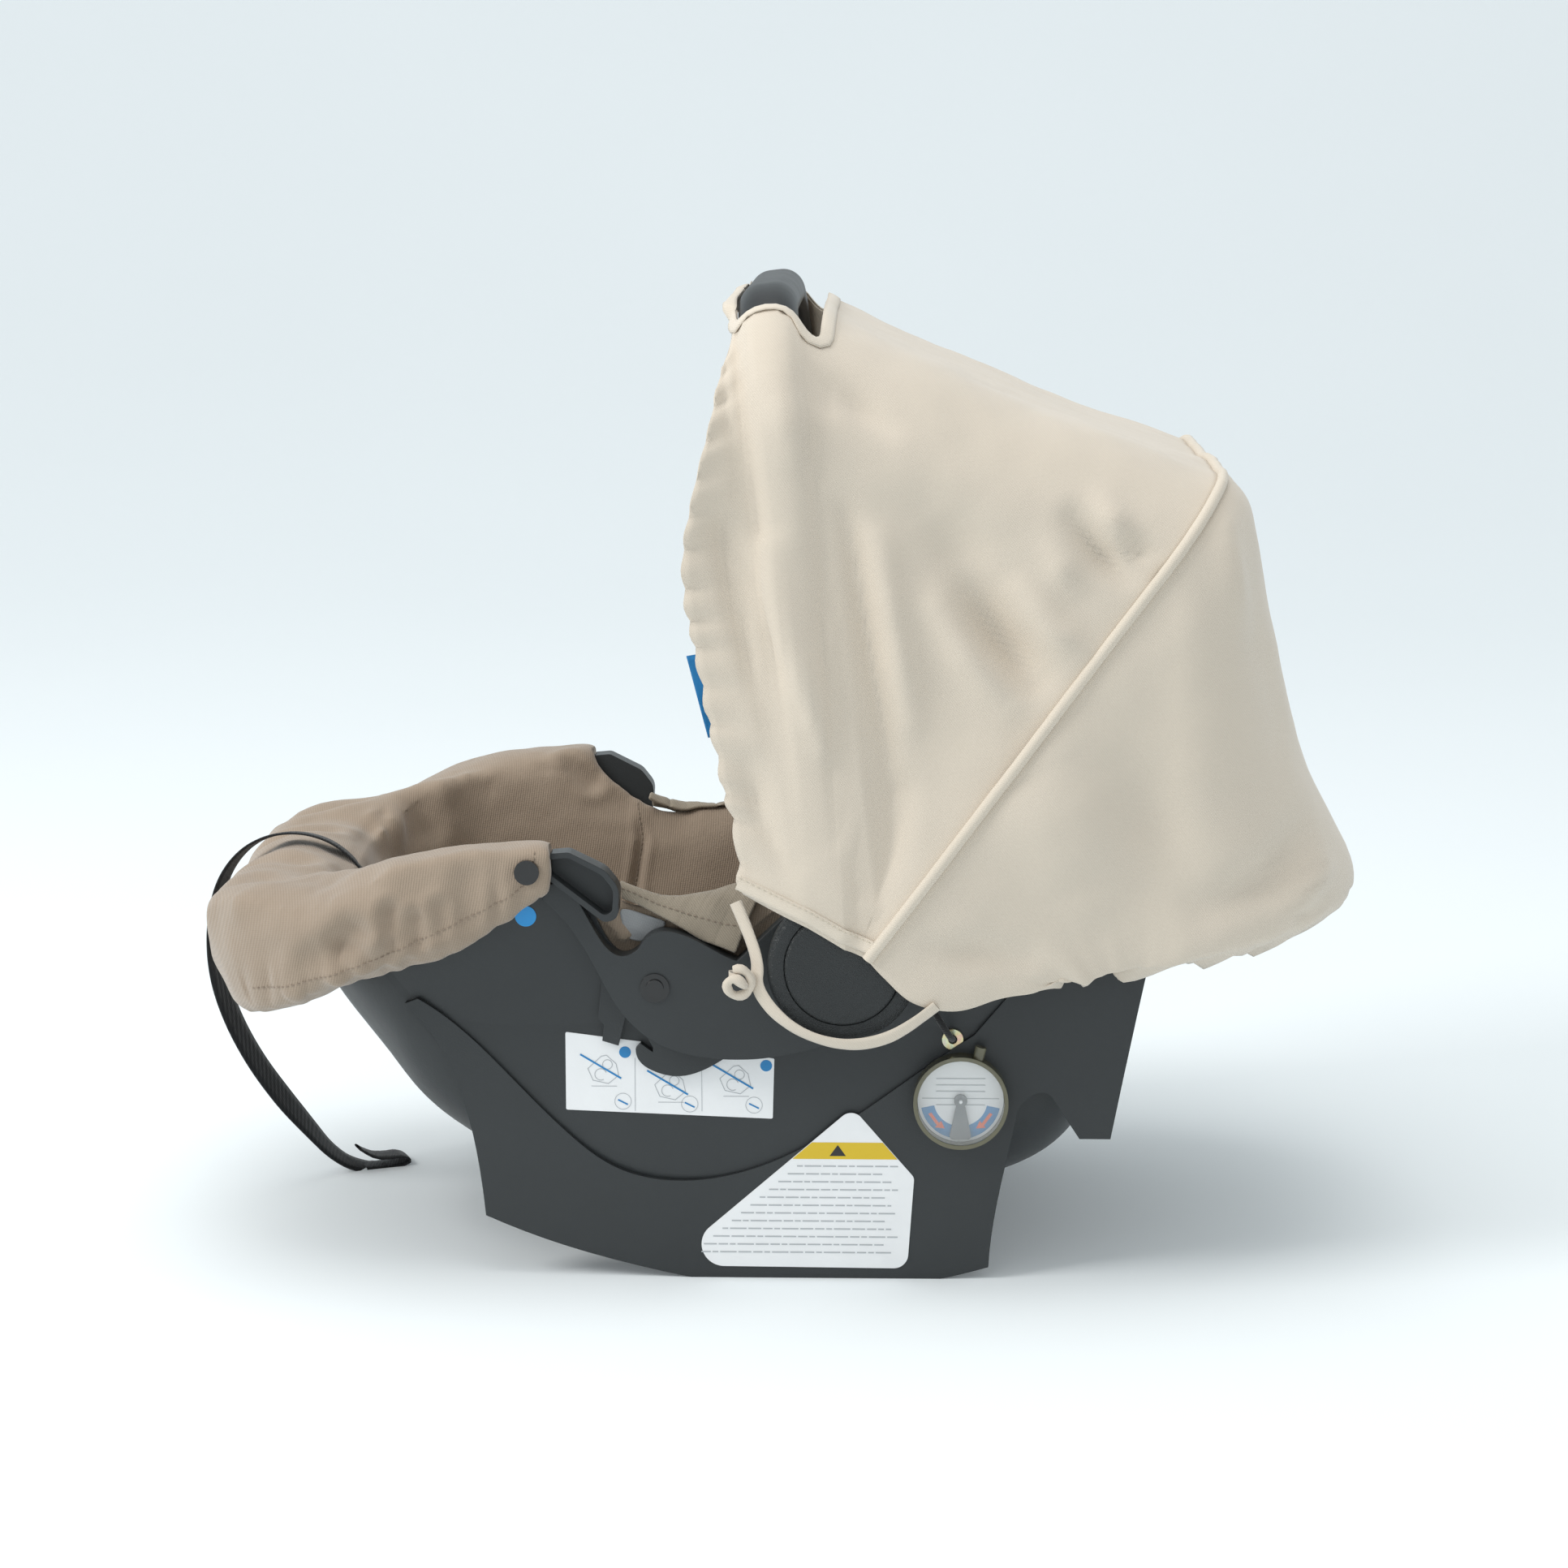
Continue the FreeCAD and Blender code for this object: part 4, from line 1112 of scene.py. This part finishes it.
def swollen(piece, pressure, limit):
    """A few frames of cloth under pressure, with each point's travel capped."""
    before = places(piece)
    scene = bpy.context.scene
    cloth = modified(piece, "CLOTH")
    cloth.settings.quality = 4
    cloth.settings.mass = 0.25
    for kind in ("tension_stiffness", "compression_stiffness"):
        setattr(cloth.settings, kind, 12.0)
    cloth.settings.shear_stiffness = 5.0
    cloth.settings.bending_stiffness = 0.4
    cloth.settings.use_pressure = True
    cloth.settings.uniform_pressure_force = pressure
    cloth.settings.effector_weights.gravity = 0.0
    cloth.collision_settings.use_collision = False
    cloth.point_cache.frame_start, cloth.point_cache.frame_end = 1, 20
    for number in range(1, 21):
        scene.frame_set(number)
    depsgraph = bpy.context.evaluated_depsgraph_get()
    after = places(piece.evaluated_get(depsgraph))
    piece.modifiers.clear()
    scene.frame_set(1)
    travel = np.nan_to_num(after - before)
    size = np.linalg.norm(travel, axis=1)
    travel *= np.minimum(1.0, limit / np.maximum(size, 1e-9))[:, None]
    place(piece, before + travel)
    return before


def surface_tree(*pieces):
    shape = bmesh.new()
    for piece in pieces:
        shape.from_mesh(piece.data)
    tree = BVHTree.FromBMesh(shape)
    shape.free()
    return tree


def held_off(piece, before, tree, clear):
    """Points that swelled to within clear of hard parts go back to where they were."""
    points = places(piece)
    for i, point in enumerate(points):
        _, _, _, distance = tree.find_nearest(Vector(point), clear)
        if distance is not None:
            points[i] = before[i]
    place(piece, points)


def on_near_side(tree, x, z, lift=0.0):
    """Where a sight line from the near side meets a surface, and the normal there."""
    hit, normal, _, _ = tree.ray_cast(Vector((x, -0.40, z)), Vector((0, 1, 0)))
    if hit is None:
        return None, None
    if normal.y > 0:
        normal = -normal
    return hit + normal * lift, normal


def sewn_on_side(tree, line, mirror=False):
    """Points and ups for stitches along a side view line, laid on a surface."""
    path = spaced([Vector((x, 0.0, z)) for x, z in line], 0.003)
    points, ups = [], []
    for p in path:
        hit, normal = on_near_side(tree, p.x, p.z, 0.0002)
        if hit is not None:
            points.append(hit)
            ups.append(normal)
    if mirror:
        points = [Vector((p.x, -p.y, p.z)) for p in points]
        ups = [Vector((u.x, -u.y, u.z)) for u in ups]
    return points, ups


def thread_line(name, points, ups, material, length=0.0028, gap=0.0012, size=0.00035):
    def up_at(place):
        return min(zip(points, ups), key=lambda pair: (pair[0] - place).length_squared)[1]
    return stitches(name, points, up_at, material, length, gap, size)


def make_pad():
    shape = bmesh.new()
    for node in ("seat_pad", "pad_overhang"):
        shape.from_mesh(NODES[node].data)
    pad = mesh_object("seat_cushion", [], [], MATERIALS["pad_fabric"])
    shape.to_mesh(pad.data)
    shape.free()
    modified(pad, "REMESH", mode="VOXEL", voxel_size=PAD_VOXEL, use_smooth_shade=True)
    modified(pad, "SMOOTH", factor=0.5, iterations=6)
    baked(pad)
    hard = surface_tree(NODES["seat_bucket"], NODES["left_wing"], NODES["right_wing"], NODES["belt_tabs"])
    before = swollen(pad, 4.0, SWELL_LIMIT)
    held_off(pad, before, hard, 0.0025)
    modified(pad, "SMOOTH", factor=0.5, iterations=2)
    baked(pad)
    modified(pad, "SUBSURF", levels=1, render_levels=1)
    baked(pad)
    points, normals = places(pad), vertex_normals(pad)
    for i, point in enumerate(points):
        at = Vector(point)
        lumps = 0.0016 * noise.noise(at * 22.0) + 0.0006 * noise.noise(at * 60.0)
        x, z = point[0], point[2]
        distance, along = line_distance(x, z, FLAP_EDGE)
        if abs(point[1]) > 0.15 and distance < 0.03 and along < 0.75:
            pucker = noise.noise(Vector((x / 0.008, math.copysign(3.0, point[1]), 0.4)))
            lumps += 0.0034 * pucker * math.exp(-(distance / 0.016) ** 2)
        points[i] += normals[i] * lumps
        snap = math.hypot(x - SNAP_X, z - SNAP_Z)
        if snap < 0.022 and abs(point[1]) > 0.185:
            rest = SNAP_REST + 0.004 * smooth_step((snap - 0.0085) / 0.0135)
            points[i][1] = math.copysign(min(abs(point[1]), rest), point[1])
    place(pad, points)
    pressed(pad, PAD_CREASES)
    for polygon in pad.data.polygons:
        polygon.use_smooth = True
    belongs(pad)
    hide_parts("seat_pad", "pad_overhang")

    tree = surface_tree(pad)
    parts = []
    for mirror in (False, True):
        points, ups = sewn_on_side(tree, FLAP_EDGE, mirror)
        parts.append(thread_line("flap_stitch", points, ups, THREAD))
    for side in (-1, 1):
        line = [Vector((-0.103, side * 0.146, 0.258)), Vector((-0.097, side * 0.142, 0.222)),
                Vector((-0.103, side * 0.138, 0.185))]
        fine = spaced(line, 0.004)
        hits, ups = [], []
        for p in fine:
            hit, _, _, _ = tree.ray_cast(Vector((p.x, 0.0, p.z)), Vector((0, side, 0)))
            if hit is not None:
                hits.append(hit - Vector((0, side * 0.0003, 0)))
                ups.append(Vector((0, -side, 0)))
        if len(hits) > 2:
            parts.append(thread_line("seam", hits, ups, THREAD, 0.0030, 0.0006, 0.00030))
    belongs(joined("pad_stitching", parts))


def make_side_flanges():
    """The pad's side pieces, folded out over the arms from the tabs to the hubs."""
    inner = metres([
        (-93, 146, 250), (-76, 150, 240), (-50, 151, 243), (-24, 152, 250), (4, 153, 262),
    ])
    hem = metres([
        (-91, 158, 243), (-74, 166, 238), (-57, 171, 228.5), (-38, 173, 219), (-21, 174, 212.5),
    ])
    for side, name in ((-1, "left_side_flange"), (1, "right_side_flange")):
        top = nurbs_points([(x, side * y, z) for x, y, z in inner], resolution=12)
        low = nurbs_points([(x, side * y, z) for x, y, z in hem], resolution=12)
        top, low = spaced(top, 0.002), spaced(low, 0.002)
        count = 60
        rows = []
        for i in range(count + 1):
            a, b = top[round(i / count * (len(top) - 1))], low[round(i / count * (len(low) - 1))]
            row = []
            for k in range(15):
                f = k / 14
                p = a.lerp(b, f)
                p += Vector((0, side * 0.35, 0.94)) * (0.0062 * math.sin(math.pi * f))
                p += Vector((0, side * 0.5, 0.8)) * 0.0016 * noise.noise(p * 60)
                row.append(p)
            rows.append(row)
        flange = grid_object(name, rows, PAD_TWILL)
        modified(flange, "SOLIDIFY", thickness=0.0022, offset=0.0)
        modified(flange, "SUBSURF", levels=1, render_levels=1)
        baked(flange)
        belongs(flange)
        sewn = [row[11] + Vector((0, side * 0.0008, 0.0013)) for row in rows]
        ups = [Vector((0, side * 0.5, 0.86))] * len(sewn)
        belongs(thread_line(name + "_stitch", sewn, ups, THREAD))
        backing_rows = [[Vector((x, side * y, z)) for x, y, z in line] for line in (
            [(-0.094, 0.1605, 0.240), (-0.078, 0.1610, 0.234), (-0.062, 0.1615, 0.230)],
            [(-0.090, 0.1620, 0.228), (-0.079, 0.1625, 0.225), (-0.066, 0.1630, 0.226)],
            [(-0.088, 0.1610, 0.218), (-0.078, 0.1615, 0.217), (-0.068, 0.1620, 0.219)])]
        backing = grid_object(name + "_backing", backing_rows, PAD_BACKING)
        modified(backing, "SUBSURF", levels=3, render_levels=3)
        baked(backing)
        for vertex in backing.data.vertices:
            vertex.co.y += side * 0.0014 * noise.noise(vertex.co * 120)
        thickened(backing, 0.0008, 0.0)
        belongs(backing)


# ---------------------------------------------------------------- labels, gauge print, sticker and tag

def flat_piece(name, outlines, y, material, depth=0.00018):
    """Thin print: outlines of (x, z) in a plane facing the near side."""
    points, faces = [], []
    for outline in outlines:
        area = sum(a[0] * b[1] - b[0] * a[1] for a, b in zip(outline, outline[1:] + outline[:1]))
        line = outline if area > 0 else outline[::-1]
        start, count = len(points), len(line)
        points += [(x, y, z) for x, z in line] + [(x, y + depth, z) for x, z in line]
        faces.append(tuple(start + i for i in range(count)))
        faces.append(tuple(start + count + i for i in reversed(range(count))))
        faces += [(start + i, start + count + i, start + count + (i + 1) % count, start + (i + 1) % count)
                  for i in range(count)]
    return mesh_object(name, points, faces, material, smooth=False)


def disc(x, z, radius, start=0.0, end=360.0, inner=0.0, steps=48):
    """A disc, or with inner a ring or part of one."""
    count = max(6, round(steps * (end - start) / 360))
    angles = [math.radians(mixed(start, end, i / count)) for i in range(count + (end - start < 360))]
    outer = [(x + radius * math.cos(a), z + radius * math.sin(a)) for a in angles]
    if not inner:
        return outer
    return outer + [(x + inner * math.cos(a), z + inner * math.sin(a)) for a in reversed(angles)]


def stroke(a, b, width):
    (ax, az), (bx, bz) = a, b
    length = math.hypot(bx - ax, bz - az)
    nx, nz = -(bz - az) / length * width / 2, (bx - ax) / length * width / 2
    return [(ax + nx, az + nz), (bx + nx, bz + nz), (bx - nx, bz - nz), (ax - nx, az - nz)]


def print_on(name, outlines, y, material):
    belongs(flat_piece(name, outlines, y, material))


def carrier_sketch(x, z, size):
    """A small generic line drawing of a seat, with a ring, an arc and a base line; the belt across it is
    drawn by the caller.
    """
    seat = [(-0.9, 0.1), (-0.6, -0.6), (0.3, -0.8), (0.9, -0.3), (0.75, 0.4), (0.2, 0.9), (-0.1, 0.85)]
    lines = [stroke((x + a[0] * size, z + a[1] * size), (x + b[0] * size, z + b[1] * size), 0.0004)
             for a, b in zip(seat, seat[1:] + seat[:1])]
    lines += [disc(x + 0.25 * size, z + 0.35 * size, 0.30 * size, 0, 359, 0.30 * size - 0.0004),
              disc(x - 0.15 * size, z - 0.25 * size, 0.36 * size, 20, 300, 0.36 * size - 0.0004)]
    lines += [stroke((x - 0.7 * size, z - 0.95 * size), (x + 0.8 * size, z - 0.95 * size), 0.0003)]
    return lines


# y of each printed face, and of a second layer of print over the first
INSTRUCTION_FACE, CAUTION_FACE, GAUGE_FACE, LAYER = -0.1608, -0.1638, -0.1662, 0.0001
CAUTION_SLOPE, CAUTION_START, CAUTION_END = 1.1485, -0.066, 0.0805     # the cut corner, and the far edge
GAUGE_X, GAUGE_Z = 0.116, 0.120
STICKER_X, STICKER_Z, STICKER_RADIUS = -0.149, 0.2335, 0.0065


def make_print():
    face = INSTRUCTION_FACE
    marks, belts, discs = [], [], []
    for x, z in ((-0.103, 0.136), (-0.062, 0.126), (-0.022, 0.130)):
        marks += carrier_sketch(x, z, 0.0105)
        belts.append(stroke((x - 0.014, z + 0.010), (x + 0.011, z - 0.005), 0.0011))
    for x in (-0.0835, -0.0425):
        marks.append(stroke((x, 0.1105), (x, 0.1440), 0.0003))
    for x, z in ((-0.091, 0.1165), (-0.050, 0.1150), (-0.0105, 0.1145)):
        marks += [disc(x, z, 0.0052, 0, 359, 0.0049)]
        belts.append(stroke((x - 0.003, z + 0.001), (x + 0.003, z - 0.002), 0.0009))
    discs += [disc(-0.0895, 0.1475, 0.0036), disc(-0.0030, 0.1395, 0.0036)]
    print_on("instruction_lines", marks, face, GREY_PRINT)
    print_on("instruction_belts", belts, face - LAYER, BLUE_PRINT)
    print_on("instruction_discs", discs, face, BLUE_PRINT)

    face = CAUTION_FACE
    print_on("caution_band", [[(0.0132, 0.0815), (0.0252, 0.0920), (0.0686, 0.0920), (0.0776, 0.0815)]],
             face, YELLOW_PRINT)
    print_on("caution_mark", [[(0.0360, 0.0835), (0.0460, 0.0835), (0.0410, 0.0905)]], face - LAYER,
             BLACK_PRINT)
    rows = []
    for k in range(12):
        z = 0.0770 - 0.005 * k
        corner = -0.0480 if z > 0.035 else -0.0430
        x = max(CAUTION_START + (z - 0.013) * CAUTION_SLOPE + 0.0085, corner)
        end = CAUTION_END - 0.0035 - 0.004 * ((k * 5) % 3)
        step = 0
        while x < end:
            wide = 0.0035 + 0.0022 * ((k * 7 + step * 3) % 4)
            rows.append(stroke((x, z), (min(x + wide, end + 0.001), z), 0.0008))
            x += wide + 0.0012
            step += 1
    print_on("caution_lines", rows, face, GREY_PRINT)

    x, z, face = GAUGE_X, GAUGE_Z, GAUGE_FACE
    rules = [stroke((x - 0.0235, z + 0.001), (x + 0.0235, z + 0.001), 0.0006)]
    rules += [stroke((x - 0.015, z + h), (x + 0.015, z + h), 0.0007)
              for h in (0.0135, 0.0095, 0.0055, -0.0030)]
    print_on("gauge_rule", rules, face, GREY_PRINT)
    arcs = [disc(x, z, 0.0245, 192, 262, 0.0165), disc(x, z, 0.0245, 278, 348, 0.0165)]
    print_on("gauge_arcs", arcs, face, BLUE_PRINT)
    arrows = []
    for sign in (-1, 1):
        def around(degrees, radius):
            a = math.radians(270 + sign * degrees)
            return x + radius * math.cos(a), z + radius * math.sin(a)
        arrows.append([around(66, 0.0215), around(42, 0.0215), around(42, 0.0232), around(28, 0.0203),
                       around(42, 0.0176), around(42, 0.0195), around(66, 0.0195)])
    print_on("gauge_arrows", arrows, face - LAYER, ORANGE_PRINT)

    tree = surface_tree(NODES["seat_bucket"])
    rim = []
    for k in range(40):
        a = 2 * math.pi * k / 40
        hit, _ = on_near_side(tree, STICKER_X + STICKER_RADIUS * math.cos(a),
                              STICKER_Z + STICKER_RADIUS * math.sin(a))
        rim.append(hit + Vector((0, -0.0004, 0)))
    faces = [tuple(range(40)), tuple(range(79, 39, -1))]
    faces += [(i, (i + 1) % 40, 40 + (i + 1) % 40, 40 + i) for i in range(40)]
    dot = mesh_object("blue_dot", rim + [p + Vector((0, 0.0003, 0)) for p in rim], faces, STICKER_BLUE, False)
    belongs(dot)


def make_tag():
    """A folded cloth tag sewn inside the canopy's front edge."""
    rows = []
    for i in range(15):
        f = i / 14
        a = Vector((-0.0460, -0.150, 0.392)).lerp(Vector((-0.0330, -0.150, 0.342)), f)
        out = Vector((-1, 0.1, -0.2)).normalized()
        bend = 0.0016 * math.sin(f * 7)
        rows.append([a + out * w + Vector((0, bend * w / 0.011, 0))
                     for w in (-0.006, -0.001, 0.002, 0.0045, 0.0055)])
    tag = grid_object("canopy_tag", rows, TAG_BLUE)
    thickened(tag, 0.0006, 0.0)
    belongs(tag, "handle")


HUB_TRIM = metres([
    (-20, 200, 250), (-12, 204, 232), (-6, 209, 214), (-8, 213.5, 202), (3, 216.5, 186), (21, 217.5, 173),
    (45, 218, 166.5), (67, 218, 169.5), (85, 218, 179), (100, 217, 191),
])
HUB_KNOT = metres([
    (-24, 214, 210), (-16, 216.5, 214), (-9, 215, 206), (-13, 213, 196), (-22, 215, 196), (-26, 217, 204),
    (-19, 219.5, 209), (-12, 218.5, 201),
])


def make_hub_trim():
    """The canopy's elastic edge, which runs round under the hub, and its knot."""
    parts = []
    for side in (-1, 1):
        line = spaced(nurbs_points([(x, side * y, z) for x, y, z in HUB_TRIM], resolution=14), 0.002)
        ups = []
        for i, p in enumerate(line):
            out = Vector((p.x - PIVOT.x, 0, p.z - PIVOT.z)).normalized()
            curl = 0.55 * math.sin(i * 0.16) + 0.25 * noise.noise(Vector((i * 0.21, side, 0)))
            ups.append((Vector((0, side, 0)) * 0.8 + out * (0.45 + 0.3 * curl)).normalized())
        cloth = MATERIALS["canopy_fabric"]
        parts.append(strip("trim", line, ups, 0.0082, 0.0011, cloth, crown=0.0005))
        loop = nurbs_points([(x, side * y, z) for x, y, z in HUB_KNOT], cyclic=True, resolution=8)
        parts.append(pipe("knot", spaced(loop, 0.002, closed=True), 0.0028, cloth, 10, True,
                          ripple=lambda i: 1 + 0.12 * math.sin(i * 1.1)))
    trim = joined("hub_trims", parts)
    belongs(trim)
    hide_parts("hub_loops")


photo_camera()
studio()
make_cords()
make_canopy()
make_pad()
make_side_flanges()
make_print()
make_tag()
make_hub_trim()
for node in NODES.values():
    node.data.materials.clear()
    slots = (p["material_slot"] for p in frame["record"]["subparts"] if p["node"] == node["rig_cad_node"])
    node.data.materials.append(MATERIALS[next(slots)])
